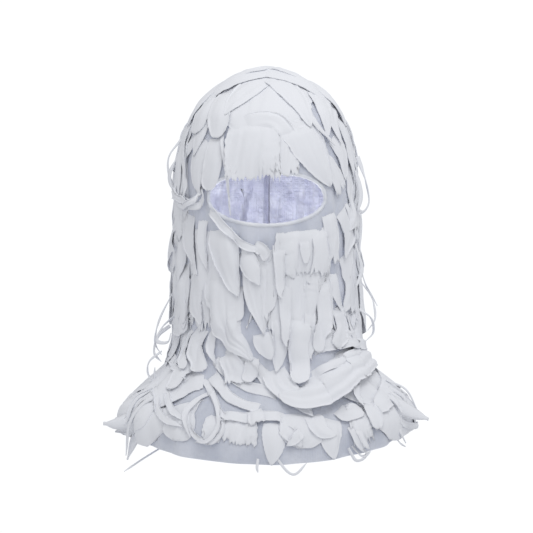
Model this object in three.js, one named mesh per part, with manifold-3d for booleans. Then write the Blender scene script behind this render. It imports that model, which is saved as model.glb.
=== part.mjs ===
// A ghillie balaclava: a two-panel knit hood with a flared shoulder cape, an elasticated eye
// opening, and courses of leaf-cut cloth sewn over it along their top edges like shingles.
// Millimetres, +Z up, the face looks along -Y. The origin is where the top of a head seats in the
// crown. Inside this file heights are counted up from the front of the hem, and the last line but
// one moves the garment to its origin. An angle of 0 is the face and 90 the wearer's left (+X).
import * as THREE from "three";
import { mergeVertices } from "three/addons/utils/BufferGeometryUtils.js";
import Module from "manifold-3d";

const wasm = await Module();
wasm.setup();

// Knit shell: its named levels, and half-width, front depth and back depth at three of them.
const CROWN_Z = 386;
const BROW_Z = 262;
const NECK_Z = 150;
const HOOD = { side: 87, front: 104, back: 112 };
const NECK = { side: 86, front: 92, back: 88 };
const HEM = { side: 150, front: 134, back: 134 };
const FLARE_REACH = 0.47; // share of the neck height at which the cape has flared by half
const FLARE_SHARPNESS = 4;
const SHOULDER_RISE = 30; // how much higher the hem is over the shoulders than in front
const ROUNDNESS = 2.2; // exponent of the level sections, where 2 is an ellipse
const CROWN_FULLNESS = 2.5; // exponent of the upright sections above the brow

// Cloth thicknesses and the clearances between layers.
const KNIT = 2.2;
const GAP = 0.35;
const LEAF_CLOTH = 1.1;
const LEAF_BASE = 0.5; // air between the shell and the sewn edge of a leaf


// Hood to cape seam, centre seams and folded hem.
const SEAM_Z = 118;
const SEAM_DEPTH = 5;
const SEAM_HALF_WIDTH = 1.2;
const HEM_FOLD = 14;
const HEM_CLOTH = 1.2;

// Eye opening, its folded binding and the elastic inside the fold.
const EYE_Z = 258;
const EYE = { side: 59, up: 27 };
const BINDING_OVERLAP = 4;
const BINDING_CLOTH = 1;
const ELASTIC_WIDTH = 1.3;

// Facets: steps round the shell, rings over the cape, the neck and the face, and how far apart the
// rings over the crown lie.
const RING_STEPS = 40;
const CAPE_RINGS = 7;
const NECK_RINGS = 2;
const FACE_RINGS = 3;
const CROWN_SPACING = 22;

const radians = THREE.MathUtils.degToRad;
const signedPower = (value, power) => Math.sign(value) * Math.abs(value) ** power;
const mix = (a, b, share) => a + (b - a) * share;

// Cloth length from the brow up to the crown point, as a quarter of an oval.
const HOOD_REACH = (HOOD.side + HOOD.front) / 2;
const CROWN_ARC = (Math.PI / 2) * Math.hypot(HOOD_REACH, CROWN_Z - BROW_Z) * Math.SQRT1_2;
const CROWN_RINGS = Math.round(CROWN_ARC / CROWN_SPACING);

// Radius that the shell would have along one direction ("side", "front" or "back") if it were
// perfectly smooth.
function profile(direction, height) {
  if (height >= NECK_Z) {
    const share = THREE.MathUtils.smoothstep(height, NECK_Z, BROW_Z - 10);
    return mix(NECK[direction], HOOD[direction], share);
  }
  const bell = (u) => 1 / (1 + (u / FLARE_REACH) ** FLARE_SHARPNESS);
  const flare = (bell(height / NECK_Z) - bell(1)) / (1 - bell(1));
  return mix(NECK[direction], HEM[direction], flare);
}

// Cloth heights of the rings that the shell is faceted at. Every layer follows the same facets.
const rings = (low, high, count) =>
  Array.from({ length: count }, (_, k) => mix(low, high, k / count));
const STATIONS = [
  ...rings(0, SEAM_Z, CAPE_RINGS),
  ...rings(SEAM_Z, NECK_Z, NECK_RINGS),
  ...rings(NECK_Z, BROW_Z, FACE_RINGS),
  BROW_Z,
];

// Angle, from 0 at the brow to 90 degrees at the top, of the crown's section at a cloth height.
function riseOf(height) {
  return (Math.max(0, height - BROW_Z) / CROWN_ARC) * (Math.PI / 2);
}

// Radius of the faceted shell along one direction at a cloth height.
function reach(direction, height) {
  if (height >= BROW_Z)
    return HOOD[direction] * Math.max(0, Math.cos(riseOf(height))) ** (2 / CROWN_FULLNESS);
  const above = STATIONS.findIndex((station) => station > height);
  const [low, high] = [STATIONS[above - 1], STATIONS[above]];
  const share = (height - low) / (high - low);
  return mix(profile(direction, low), profile(direction, high), share);
}

// Level at which the cloth of one height lies: it rounds off over the crown and rises over the
// shoulders.
function levelOf(angle, height, offset) {
  if (height >= BROW_Z) {
    const climb = Math.sin(riseOf(height)) ** (2 / CROWN_FULLNESS);
    return BROW_Z + (CROWN_Z + offset - BROW_Z) * climb;
  }
  return height + SHOULDER_RISE * Math.sin(angle) ** 2 * Math.max(0, 1 - height / SEAM_Z);
}

// Point on the shell's outside, or standing off it. Height runs along the cloth over the crown.
function onShell(angle, height, offset = 0) {
  const outwards = offset * Math.cos(riseOf(height));
  const grown = (direction) => reach(direction, height) + outwards;
  const across = signedPower(Math.sin(angle), 2 / ROUNDNESS);
  const along = signedPower(Math.cos(angle), 2 / ROUNDNESS);
  return new THREE.Vector3(
    grown("side") * across,
    -grown(along > 0 ? "front" : "back") * along,
    levelOf(angle, height, offset),
  );
}

// Cloth height at which the shell reaches a level at the face, the reverse of levelOf.
function heightAt(level) {
  if (level <= BROW_Z) return level;
  const climb = (level - BROW_Z) / (CROWN_Z - BROW_Z);
  return BROW_Z + (Math.asin(climb ** (CROWN_FULLNESS / 2)) * CROWN_ARC * 2) / Math.PI;
}

// How far cloth sewn at one height stands off the shell lower down, when it hangs plumb. Over the
// cape and the crown it lies on the shell instead.
function hang(angle, top, height) {
  if (height < NECK_Z || height > BROW_Z) return 0;
  const radius = (at) => Math.hypot(onShell(angle, at).x, onShell(angle, at).y);
  return Math.max(0, radius(Math.min(top, BROW_Z)) - radius(height));
}

// Closed geometry from an index list and points.
function closed(points, triangles) {
  const geometry = new THREE.BufferGeometry();
  const flat = points.flatMap((p) => [p.x, p.y, p.z]);
  geometry.setAttribute("position", new THREE.Float32BufferAttribute(flat, 3));
  geometry.setIndex(triangles);
  return geometry;
}

function toSolid(geometry) {
  const bare = geometry.clone();
  bare.deleteAttribute("normal");
  bare.deleteAttribute("uv");
  const merged = mergeVertices(bare, 1e-3);
  return new wasm.Manifold(
    new wasm.Mesh({
      numProp: 3,
      vertProperties: merged.attributes.position.array,
      triVerts: new Uint32Array(merged.index.array),
    }),
  );
}

function toGeometry(solid) {
  const mesh = solid.getMesh();
  const geometry = new THREE.BufferGeometry();
  geometry.setAttribute("position", new THREE.BufferAttribute(mesh.vertProperties, 3));
  geometry.setIndex(new THREE.BufferAttribute(mesh.triVerts, 1));
  return geometry;
}

// Box between two corners, as a cutter.
function slab(low, high) {
  const box = new THREE.BoxGeometry(high[0] - low[0], high[1] - low[1], high[2] - low[2]);
  box.translate((low[0] + high[0]) / 2, (low[1] + high[1]) / 2, (low[2] + high[2]) / 2);
  return toSolid(box);
}

const FAR = 2 * CROWN_Z; // beyond every face of the garment

// Solid bell inside the shell surface at an offset, from one cloth height up to another.
function bell(offset, floorZ, ceiling = BROW_Z + CROWN_ARC) {
  const crownRings = rings(BROW_Z, BROW_Z + CROWN_ARC, CROWN_RINGS).slice(1);
  const stations = [...STATIONS.slice(1), ...crownRings];
  const heights = [floorZ, ...stations.filter((height) => height < ceiling)];
  if (ceiling < BROW_Z) heights.push(ceiling);
  const points = [];
  for (const height of heights)
    for (let i = 0; i < RING_STEPS; i++) {
      const p = onShell((i / RING_STEPS) * 2 * Math.PI, Math.max(height, 0), offset);
      p.z += Math.min(height, 0);
      points.push(p);
    }
  const top = ceiling < BROW_Z ? ceiling : CROWN_Z + offset;
  const floor = points.push(new THREE.Vector3(0, 0, floorZ)) - 1;
  const crown = points.push(new THREE.Vector3(0, 0, top)) - 1;
  const triangles = [];
  const last = (heights.length - 1) * RING_STEPS;
  for (let i = 0; i < RING_STEPS; i++) {
    const next = (i + 1) % RING_STEPS;
    triangles.push(floor, next, i, crown, last + i, last + next);
    for (let row = 0; row < last; row += RING_STEPS) {
      triangles.push(row + i, row + next, row + RING_STEPS + next);
      triangles.push(row + i, row + RING_STEPS + next, row + RING_STEPS + i);
    }
  }
  return toSolid(closed(points, triangles));
}

// Layer of cloth between two offsets of the shell surface, open at the hem.
const layer = (inner, outer) => bell(outer, 0).subtract(bell(inner, -5));

// Straight cutter of the eye opening's outline, larger or smaller by a margin.
function eyeCutter(margin) {
  const shape = new THREE.Shape();
  shape.absellipse(0, 0, EYE.side + margin, EYE.up + margin, 0, Math.PI * 2);
  const prism = new THREE.ExtrudeGeometry(shape, {
    depth: FAR,
    bevelEnabled: false,
    curveSegments: 10,
  });
  prism.rotateX(Math.PI / 2);
  prism.translate(0, 0, EYE_Z);
  return toSolid(prism);
}

// Thin plate from a grid of places on the shell: each row holds {angle, height, offset}.
function plate(rows) {
  const columns = rows[0].length;
  const points = [];
  for (const lift of [LEAF_CLOTH, 0])
    for (const row of rows)
      for (const place of row) points.push(onShell(place.angle, place.height, place.offset + lift));
  const under = rows.length * columns;
  const triangles = [];
  const quad = (a, b, c, d) => triangles.push(a, b, c, a, c, d);
  for (let r = 0; r + 1 < rows.length; r++)
    for (let c = 0; c + 1 < columns; c++) {
      const at = r * columns + c;
      quad(at, at + columns, at + columns + 1, at + 1);
      quad(under + at, under + at + 1, under + at + columns + 1, under + at + columns);
    }
  for (let r = 0; r + 1 < rows.length; r++) {
    const left = r * columns;
    const right = left + columns - 1;
    quad(left, under + left, under + left + columns, left + columns);
    quad(right, right + columns, under + right + columns, under + right);
  }
  const foot = (rows.length - 1) * columns;
  for (let c = 0; c + 1 < columns; c++) {
    quad(c, c + 1, under + c + 1, under + c);
    quad(foot + c, under + foot + c, under + foot + c + 1, foot + c + 1);
  }
  return closed(points, triangles);
}

// Course of cloth sewn along its top edge, its foot cut into pointed leaves.
// from and to are in degrees, rise is how far the leaf tips stand off above the sewn edge.
const COURSE_ROWS = 4;
const STEPS_PER_LEAF = 2;
const LIFT_POWER = 0.7; // leaves part from the shell quickly below their sewn edge
function course({ from, to, top, notch, tip, leaves, base = LEAF_BASE, rise = 5 }) {
  const rows = [];
  const steps = leaves * STEPS_PER_LEAF;
  for (let r = 0; r <= COURSE_ROWS; r++) {
    const row = [];
    for (let c = 0; c <= steps; c++) {
      const inLeaf = Math.abs(((c / STEPS_PER_LEAF) % 1) * 2 - 1); // 1 at a notch, 0 at a tip
      const foot = mix(tip, notch, inLeaf ** 1.4);
      const down = r / COURSE_ROWS;
      const angle = radians(mix(from, to, c / steps));
      const height = mix(top, foot, down);
      row.push({ angle, height, offset: base + rise * down ** LIFT_POWER + hang(angle, top, height) });
    }
    rows.push(row);
  }
  return plate(rows);
}

// Single leaf: a pointed plate along a path of [degrees, share of its zone's height] points.
const LEAF_STEPS = 5;
const LEAF_COLUMNS = [-1, -0.5, 0, 0.5, 1];
function leaf({ zone, path, width, base = LEAF_BASE, rise = 5, blunt = 0.45 }) {
  const places = path.map(([degrees, share]) => {
    const height = heightAt(mix(...ZONES[zone], share));
    return { angle: radians(degrees), height };
  });
  const curve = new THREE.CatmullRomCurve3(
    places.map(({ angle, height }) => new THREE.Vector3(angle, height, 0)),
  );
  const rows = [];
  for (let r = 0; r <= LEAF_STEPS; r++) {
    const along = r / LEAF_STEPS;
    const centre = curve.getPoint(along);
    const ahead = curve.getTangent(along);
    const radius = Math.hypot(onShell(centre.x, centre.y).x, onShell(centre.x, centre.y).y);
    const sideways = new THREE.Vector2(-ahead.y, ahead.x * radius).normalize();
    const shoulder = mix(blunt, 1, Math.sin(Math.PI * Math.min(0.5, along * 0.8 + 0.12)));
    const half = (width / 2) * Math.max(0.05, shoulder * (1 - along ** 2.4) ** 0.7);
    rows.push(
      LEAF_COLUMNS.map((edge) => {
        const angle = centre.x + (sideways.x * half * edge) / radius;
        const height = centre.y + sideways.y * half * edge;
        const offset = base + rise * along ** LIFT_POWER + hang(angle, places[0].height, height);
        return { angle, height, offset };
      }),
    );
  }
  return plate(rows);
}

// Cloth materials.
function cloth(name, colour, roughness) {
  const material = new THREE.MeshStandardMaterial({ color: colour, roughness, metalness: 0 });
  material.name = name;
  return material;
}
const knit = cloth("knit", 0xe6e8ef, 0.85);
const leafCloth = cloth("leaf_cloth", 0xeeeff5, 0.75);
const trim = cloth("trim", 0xdcdeea, 0.8);

const garment = new THREE.Group();
function add(name, geometry, material) {
  const mesh = new THREE.Mesh(geometry, material);
  mesh.name = name;
  garment.add(mesh);
}
const addSolid = (name, solid, material) => add(name, toGeometry(solid), material);

// Left and right halves of the knit shell, above and below the neck seam.
function addPanels() {
  const wall = layer(-KNIT, 0);
  const hood = wall.intersect(slab([-FAR, -FAR, SEAM_Z + GAP / 2], [FAR, FAR, FAR]));
  const cape = wall.intersect(slab([-FAR, -FAR, -1], [FAR, FAR, SEAM_Z - GAP / 2]));
  for (const [hand, side] of [["left", 1], ["right", -1]]) {
    const half = side > 0
      ? slab([GAP / 2, -FAR, -FAR], [FAR, FAR, FAR])
      : slab([-FAR, -FAR, -FAR], [-GAP / 2, FAR, FAR]);
    addSolid(`hood_panel_${hand}`, hood.intersect(half).subtract(eyeCutter(0)), knit);
    addSolid(`cape_panel_${hand}`, cape.intersect(half), knit);
  }
}

// Seam allowances that stand inwards, and the fold of the hem inside the cape.
function addSeams() {
  const inside = -KNIT - GAP;
  const depth = layer(inside - SEAM_DEPTH, inside);
  const fin = depth.intersect(
    slab([-SEAM_HALF_WIDTH, -FAR, -1], [SEAM_HALF_WIDTH, FAR, FAR]),
  );
  const above = slab([-FAR, -FAR, SEAM_Z + GAP / 2], [FAR, FAR, FAR]);
  const below = slab([-FAR, -FAR, -1], [FAR, FAR, SEAM_Z - GAP / 2]);
  const back = slab([-FAR, 0, -FAR], [FAR, FAR, FAR]);
  const front = slab([-FAR, -FAR, -FAR], [FAR, 0, FAR]);
  const face = slab([-FAR, -FAR, -FAR], [FAR, 0, EYE_Z]);
  const opening = eyeCutter(BINDING_OVERLAP + 2 * GAP);
  const upper = fin.intersect(above);
  addSolid("crown_seam", upper.subtract(face).subtract(opening), trim);
  addSolid("chin_seam", upper.intersect(face).subtract(opening), trim);
  addSolid("cape_front_seam", fin.intersect(below).intersect(front), trim);
  addSolid("cape_back_seam", fin.intersect(below).intersect(back), trim);

  const clear = SEAM_HALF_WIDTH + GAP;
  const ring = depth.intersect(
    slab([-FAR, -FAR, SEAM_Z - SEAM_HALF_WIDTH], [FAR, FAR, SEAM_Z + SEAM_HALF_WIDTH]),
  );
  const fold = layer(inside - HEM_CLOTH, inside).intersect(bell(GAP, -FAR, HEM_FOLD));
  for (const [hand, low, high] of [["left", clear, FAR], ["right", -FAR, -clear]]) {
    const half = slab([low, -FAR, -FAR], [high, FAR, FAR]);
    addSolid(`neck_seam_${hand}`, ring.intersect(half), trim);
    addSolid(`hem_fold_${hand}`, fold.intersect(half), trim);
  }
}

// Tape folded over the raw edge of the eye opening, with an elastic ring inside its fold.
function addEyeBinding() {
  const lip = -ELASTIC_WIDTH - 2 * GAP;
  const wrap = layer(-KNIT - GAP - BINDING_CLOTH, GAP + BINDING_CLOTH)
    .intersect(eyeCutter(BINDING_OVERLAP))
    .subtract(eyeCutter(lip - BINDING_CLOTH));
  const slot = layer(-KNIT - GAP, GAP).subtract(eyeCutter(lip));
  const front = slab([-FAR, -FAR, -FAR], [FAR, 0, FAR]);
  addSolid("eye_binding", wrap.subtract(slot).intersect(front), trim);
  const strand = layer(-KNIT, 0)
    .intersect(eyeCutter(-GAP))
    .subtract(eyeCutter(-GAP - ELASTIC_WIDTH));
  addSolid("eye_elastic", strand.intersect(front), trim);
}

// Cloth draped over the crown from ear to ear; its front edge is the arch above the forehead.
const COWL = { front: -46, back: 3, foot: 345, base: LEAF_BASE };
function addCrown() {
  const drape = layer(COWL.base, COWL.base + LEAF_CLOTH).intersect(
    slab([-FAR, COWL.front, COWL.foot], [FAR, COWL.back, FAR]),
  );
  addSolid("crown_cowl", drape, leafCloth);
}

// Courses round the back and the sides, from the crown down to the neck, each sewn at its top.
// first and last are the tops of the two end courses, long is top to tip, deep is the leaf cut.
const BACK_COURSES = {
  first: BROW_Z + CROWN_ARC - 20,
  last: SEAM_Z + 34,
  long: 70,
  deep: 22,
  leaves: [5, 6, 7, 7, 7, 7],
};
const SIDE_COURSES = {
  first: heightAt(COWL.foot - 3),
  last: SEAM_Z + 36,
  long: 62,
  deep: 22,
  leaves: [2, 3, 3, 3, 3],
};
const SIDE_RANGE = { from: 56, to: 101 };
const BACK_RANGE = { from: 103, to: 257 };
const CAPE_LAP = 5; // how far the upper course of the cape laps over the lower one
const CAPE_TIP = 1; // height of the lowest leaf tips
const CAPE_LONG = (SEAM_Z - 24 - CAPE_TIP + CAPE_LAP) / 2;
const CAPE_COURSES = {
  first: SEAM_Z - 24,
  last: CAPE_TIP + CAPE_LONG,
  long: CAPE_LONG,
  deep: 15,
  leaves: [6, 6],
};
const CAPE_SECTORS = [
  { name: "front", from: -42, to: 42, leaves: 6 },
  { name: "left", from: 44, to: 112, leaves: 5 },
  { name: "back", from: 114, to: 246, leaves: 9 },
  { name: "right", from: 248, to: 316, leaves: 5 },
];
function stack({ first, last, long, deep, leaves }) {
  return leaves.map((count, k) => {
    const top = mix(first, last, k / (leaves.length - 1));
    return { top, notch: top - long + deep, tip: top - long, leaves: count };
  });
}
function addCourses() {
  stack(BACK_COURSES).forEach((row, k) =>
    add(`back_course_${k + 1}`, course({ ...row, ...BACK_RANGE }), leafCloth));
  stack(SIDE_COURSES).forEach((row, k) => {
    const mirrored = { from: -SIDE_RANGE.to, to: -SIDE_RANGE.from };
    add(`side_course_left_${k + 1}`, course({ ...row, ...SIDE_RANGE }), leafCloth);
    add(`side_course_right_${k + 1}`, course({ ...row, ...mirrored }), leafCloth);
  });
  stack(CAPE_COURSES).forEach((row, k) => {
    for (const { name, ...sector } of CAPE_SECTORS)
      add(`cape_${["upper", "lower"][k]}_course_${name}`, course({ ...row, ...sector }), leafCloth);
  });
}

// Single leaves on the face side. Each swings outwards about its sewn end. The brow zone lies
// between the eye opening and the crown, the jaw zone between the neck seam and the eye opening.
const ZONES = {
  brow: [EYE_Z + EYE.up, CROWN_Z],
  jaw: [SEAM_Z, EYE_Z - EYE.up],
};
const FACE_LEAVES = {
  forehead_leaf_left: { zone: "brow", path: [[7, 0.85], [21, 0.75], [28, 0.56]], width: 24 },
  forehead_leaf_right: { zone: "brow", path: [[-7, 0.85], [-23, 0.78], [-34, 0.64]], width: 24 },
  temple_leaf_left: { zone: "brow", path: [[20, 0.41], [31, 0.21], [42, -0.11]], width: 36 },
  temple_leaf_right: { zone: "brow", path: [[-40, 0.49], [-45, 0.31], [-45, 0.11]], width: 20 },
  brow_flap: { zone: "brow", path: [[-7, 0.43], [-8, 0.23], [-7, 0.03]], width: 50, blunt: 0.8 },
  cheek_leaf_right: { zone: "jaw", path: [[-31, 0.9], [-29, 0.69], [-20, 0.4]], width: 32 },
  jaw_leaf_right: { zone: "jaw", path: [[-34, 0.35], [-29, 0.14], [-11, -0.15]], width: 36 },
  chin_leaf: { zone: "jaw", path: [[-7, 0.88], [-7, 0.53], [-2, 0.18]], width: 32 },
  throat_leaf: { zone: "jaw", path: [[-2, 0.11], [0, -0.02], [4, -0.19]], width: 24 },
  chin_patch: { zone: "jaw", path: [[19, 0.92], [20, 0.78], [21, 0.6]], width: 46, blunt: 0.8 },
  jaw_strip_left: { zone: "jaw", path: [[10, 0.53], [11, 0.28], [10, 0]], width: 17, blunt: 0.9 },
  neck_strip_front: {
    zone: "jaw", path: [[24, 0.18], [21, -0.05], [16, -0.37]], width: 20, base: 2.6, blunt: 0.9,
  },
  neck_strip_side: { zone: "jaw", path: [[36, 0.55], [36, 0.25], [30, -0.09]], width: 22, blunt: 0.9 },
};
function addFaceLeaves() {
  for (const [name, shape] of Object.entries(FACE_LEAVES)) add(name, leaf(shape), leafCloth);
}

addPanels();
addSeams();
addEyeBinding();
addCrown();
addCourses();
addFaceLeaves();
garment.position.z = KNIT - CROWN_Z;

export default garment;
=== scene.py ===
"""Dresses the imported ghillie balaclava: knit hood and cape, eye binding, and layers of leaf-cut cloth.

Sizes in the classes are millimetres, with heights counted up from the front of the hem, and one
method turns them to the frame's metres. The face looks along -Y and +X is the wearer's left.
"""

import logging
import math
import random
from dataclasses import dataclass
from enum import Enum
from typing import ClassVar, Iterable, Sequence

import bpy
import numpy as np
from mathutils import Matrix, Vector, noise
from mathutils.bvhtree import BVHTree
from mathutils.kdtree import KDTree

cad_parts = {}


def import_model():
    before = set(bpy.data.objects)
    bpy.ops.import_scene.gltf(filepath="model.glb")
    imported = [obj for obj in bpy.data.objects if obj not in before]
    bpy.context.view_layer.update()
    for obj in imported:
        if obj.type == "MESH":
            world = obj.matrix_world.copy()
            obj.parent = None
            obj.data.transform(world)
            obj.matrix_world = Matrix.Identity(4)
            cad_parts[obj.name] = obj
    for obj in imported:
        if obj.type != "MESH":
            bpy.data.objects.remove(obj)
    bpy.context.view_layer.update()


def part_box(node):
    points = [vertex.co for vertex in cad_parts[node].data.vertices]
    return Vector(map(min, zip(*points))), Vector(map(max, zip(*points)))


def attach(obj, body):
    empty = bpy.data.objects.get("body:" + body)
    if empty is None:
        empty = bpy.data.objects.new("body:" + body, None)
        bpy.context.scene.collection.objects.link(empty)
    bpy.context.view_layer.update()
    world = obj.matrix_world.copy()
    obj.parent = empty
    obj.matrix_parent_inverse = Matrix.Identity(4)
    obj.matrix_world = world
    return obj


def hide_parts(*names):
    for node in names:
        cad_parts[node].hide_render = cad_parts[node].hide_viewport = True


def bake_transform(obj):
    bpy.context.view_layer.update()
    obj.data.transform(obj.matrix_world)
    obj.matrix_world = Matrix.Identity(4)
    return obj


MM = 0.001
LOG = logging.getLogger("ghillie_balaclava")
Place = Sequence[float]
Route = Sequence[Place]


class Cut(Enum):
    """How the free end of a piece of leaf cloth is cut."""

    LEAF = "pointed leaf"
    LOBE = "rounded lobe"
    STRIP = "long strip with a slanted end"
    RAG = "torn end with teeth"
    PATCH = "broad patch, held along both ends"


class Finish(Enum):
    """Names of the finishes that pieces are made in."""

    LEAF = "leaf_cloth"
    KNIT = "hood_knit"
    LINING = "knit_lining"
    TRIM = "binding_tape"
    SEAM = "overlock_seam"


def smooth(low: float, high: float, value: np.ndarray | float) -> np.ndarray:
    """Ramps from 0 at low to 1 at high with soft ends."""
    share = np.clip((np.asarray(value, float) - low) / (high - low), 0, 1)
    return share * share * (3 - 2 * share)


def mix(a: float, b: float, share: np.ndarray | float) -> np.ndarray | float:
    """Goes from a to b as share goes from 0 to 1."""
    return a + (b - a) * share


def wander(seed: float, where: float, detail: float = 1.0) -> float:
    """Gives a smooth random value from -1 to 1 along a line, the same on every run."""
    return noise.noise(Vector((where * detail, seed * 7.31, seed * 1.7)))


def unit(arrows: np.ndarray) -> np.ndarray:
    """Scales rows of arrows to length one."""
    return arrows / (np.linalg.norm(arrows, axis=-1)[..., None] + 1e-12)


def curve_through(knots: np.ndarray, pieces: int) -> np.ndarray:
    """Joins places with one smooth curve.

    Args:
        knots: The places, in rows of any width.
        pieces: How many steps the curve takes from one place to the next.

    Returns:
        Points of the curve, which passes through every place.
    """
    padded = np.vstack([2 * knots[0] - knots[1], knots, 2 * knots[-1] - knots[-2]])
    fine = []
    for k in range(1, len(padded) - 2):
        a, b, c, d = padded[k - 1 : k + 3]
        for t in np.linspace(0, 1, pieces, endpoint=False):
            bend = 2 * b + (c - a) * t + (2 * a - 5 * b + 4 * c - d) * t**2
            fine.append(0.5 * (bend + (3 * b - a - 3 * c + d) * t**3))
    return np.array([*fine, knots[-1]])


# ---------------------------------------------------------------------------------------------
# The worn form that all cloth lies on
# ---------------------------------------------------------------------------------------------


@dataclass(frozen=True)
class HoodSizes:
    """Driving sizes of the knit shell, in millimetres.

    Triples are the reach to the side, the front and the back. The cape's side and the top of the
    crown are a little smaller than the design states, because cloth lies on them.
    """

    crown: float = 386
    brow: float = 262
    neck: float = 150
    seam: float = 118
    eye_height: float = 258
    eye_side: float = 57
    eye_up: float = 25.5
    hood: tuple[float, float, float] = (87, 104, 112)
    collar: tuple[float, float, float] = (86, 92, 88)
    hem: tuple[float, float, float] = (144, 134, 134)
    flare_reach: float = 0.42
    flare_sharpness: float = 4
    shoulder_rise: float = 30
    roundness: float = 2.2
    fullness: float = 2.5
    peak: float = 0.22
    knit: float = 2.0


@dataclass(frozen=True)
class Dent:
    """A soft hollow or swelling of the worn form, seen from the front."""

    x: float
    z: float
    wide: float
    tall: float
    depth: float


class WornForm:
    """The smooth worn surface, and a record of how thick the cloth on it already is.

    FLUTES are the cape's folds: how many go round, where they start, and how strong they are.
    """

    RING = 300
    STEP = 2.2
    FLUTES = ((9, 0.7, 1.0), (14, 2.1, 0.6), (23, 0.0, 0.5))
    DENTS = (
        Dent(-14, 84, 34, 22, 13),
        Dent(70, 60, 26, 16, 5),
        Dent(30, 98, 16, 12, 5),
        Dent(0, 118, 70, 16, 3),
        Dent(-70, 130, 16, 26, 3),
    )

    def __init__(self, sizes: HoodSizes) -> None:
        """Builds the surface.

        Args:
            sizes: The driving sizes of the shell.
        """
        self.sizes = sizes
        self.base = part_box("cape_panel_left")[0][2]
        climb = sizes.crown - sizes.brow
        reach = (sizes.hood[0] + sizes.hood[1]) / 2
        self.arc = math.pi / 2 * math.hypot(reach, climb) * math.sqrt(0.5)
        self.top = sizes.brow + self.arc
        self.rows = int(self.top / self.STEP) + 1
        heights = np.linspace(0, self.top - 0.4, self.rows)
        angles = np.linspace(0, 2 * math.pi, self.RING, endpoint=False)
        grid_h, grid_a = np.meshgrid(heights, angles, indexing="ij")
        self.points = self.at(grid_a, grid_h).reshape(-1, 3)
        index = np.arange(self.rows * self.RING).reshape(self.rows, self.RING)
        right = np.roll(index, -1, axis=1)
        self.faces = np.stack([index[:-1], right[:-1], right[1:], index[1:]], axis=-1).reshape(-1, 4)
        cap = [int(i) for i in index[-1]]
        polygons = [tuple(int(i) for i in face) for face in self.faces] + [tuple(cap)]
        self.tree = BVHTree.FromPolygons([tuple(p) for p in self.points], polygons)
        self.finder = KDTree(len(self.points))
        for number, point in enumerate(self.points):
            self.finder.insert(point, number)
        self.finder.balance()
        self.cover = np.zeros(len(self.points))

    def bell(self, share: np.ndarray | float) -> np.ndarray | float:
        """Gives how far the cape flares at a share of the neck's height."""
        return 1 / (1 + (share / self.sizes.flare_reach) ** self.sizes.flare_sharpness)

    def reach(self, direction: int, height: np.ndarray) -> np.ndarray:
        """Gives the shell's radius at a cloth height, to the side (0), front (1) or back (2)."""
        s = self.sizes
        face = mix(s.collar[direction], s.hood[direction], smooth(s.neck, s.brow - 10, height))
        least = self.bell(1)
        flare = (self.bell(np.clip(height, 0, s.neck) / s.neck) - least) / (1 - least)
        cape = mix(s.collar[direction], s.hem[direction], flare)
        rise = np.clip((height - s.brow) / self.arc, 0, 1) * math.pi / 2
        crown = s.hood[direction] * np.clip(np.cos(rise), 0, 1) ** (2 / s.fullness)
        crown = crown * (1 - s.peak * smooth(0.6, 1, np.sin(rise) ** (2 / s.fullness)))
        return np.where(height >= s.brow, crown, np.where(height >= s.neck, face, cape))

    def at(self, angle: np.ndarray, height: np.ndarray) -> np.ndarray:
        """Gives points of the surface, in the frame's metres.

        Args:
            angle: Radians round the head, 0 at the face and a quarter turn at the wearer's left.
            height: Cloth heights in millimetres, up the face and on over the crown.

        Returns:
            An array of the same shape with a last axis of x, y and z.
        """
        s = self.sizes
        sine, cosine = np.sin(angle), np.cos(angle)
        across = np.sign(sine) * np.abs(sine) ** (2 / s.roundness)
        along = np.sign(cosine) * np.abs(cosine) ** (2 / s.roundness)
        rise = np.clip((height - s.brow) / self.arc, 0, 1) * math.pi / 2
        climb = (s.crown - s.brow) * np.sin(rise) ** (2 / s.fullness)
        shoulder = s.shoulder_rise * sine**2 * np.clip(1 - height / s.seam, 0, None)
        z = np.where(height >= s.brow, s.brow + climb, height + shoulder)
        # Upright flutes of the cape, which fade out below its seam, and finer waves up to the brow.
        flute = sum(size * np.sin(count * angle + phase) for count, phase, size in self.FLUTES)
        swell = 2.0 * flute * np.clip(1 - height / (s.seam - 14), 0, 1) ** 1.2
        swell = swell + 1.1 * np.sin(19 * angle + 2 * np.sin(height / 41)) * (height < s.brow)
        swell = swell + 0.7 * np.sin(31 * angle + height / 27) * (height < s.brow)
        x = (self.reach(0, height) + swell) * across
        forward = np.where(along > 0, self.reach(1, height), self.reach(2, height)) + swell
        y = -forward * along
        for dent in self.DENTS:
            near = np.exp(-(((x - dent.x) / dent.wide) ** 2) - ((z - dent.z) / dent.tall) ** 2)
            y = y + np.where(along > 0, dent.depth * near, 0)
        return np.stack([x * MM, y * MM, self.base + z * MM], axis=-1)

    def front(self, x: float, z: float) -> Vector:
        """Finds the surface point in line with x and z on the middle plane, from eye height."""
        eye = Vector((0, -2.5, self.base + self.sizes.eye_height * MM))
        target = Vector((x * MM, 0, self.base + z * MM))
        hit = self.tree.ray_cast(eye, (target - eye).normalized())[0]
        return hit if hit else self.tree.find_nearest(target)[0]

    def true_front(self, x: float, z: float) -> Vector:
        """Finds the surface point that is straight in front of x and z."""
        start = Vector((x * MM, -0.4, self.base + z * MM))
        hit = self.tree.ray_cast(start, Vector((0, 1, 0)))[0]
        return hit if hit else self.tree.find_nearest(start)[0]

    def cloth_height(self, level: float) -> float:
        """Turns a level over the crown into a cloth height."""
        s = self.sizes
        climb = np.clip((level - s.brow) / (s.crown - s.brow), 0, 1) ** (s.fullness / 2)
        return s.brow + math.asin(float(climb)) / (math.pi / 2) * self.arc

    def around(self, degrees: float, height: float) -> Vector:
        """Finds the surface point at an angle round the head and a cloth height."""
        return Vector(self.at(np.array(math.radians(degrees)), np.array(float(height))))

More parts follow.
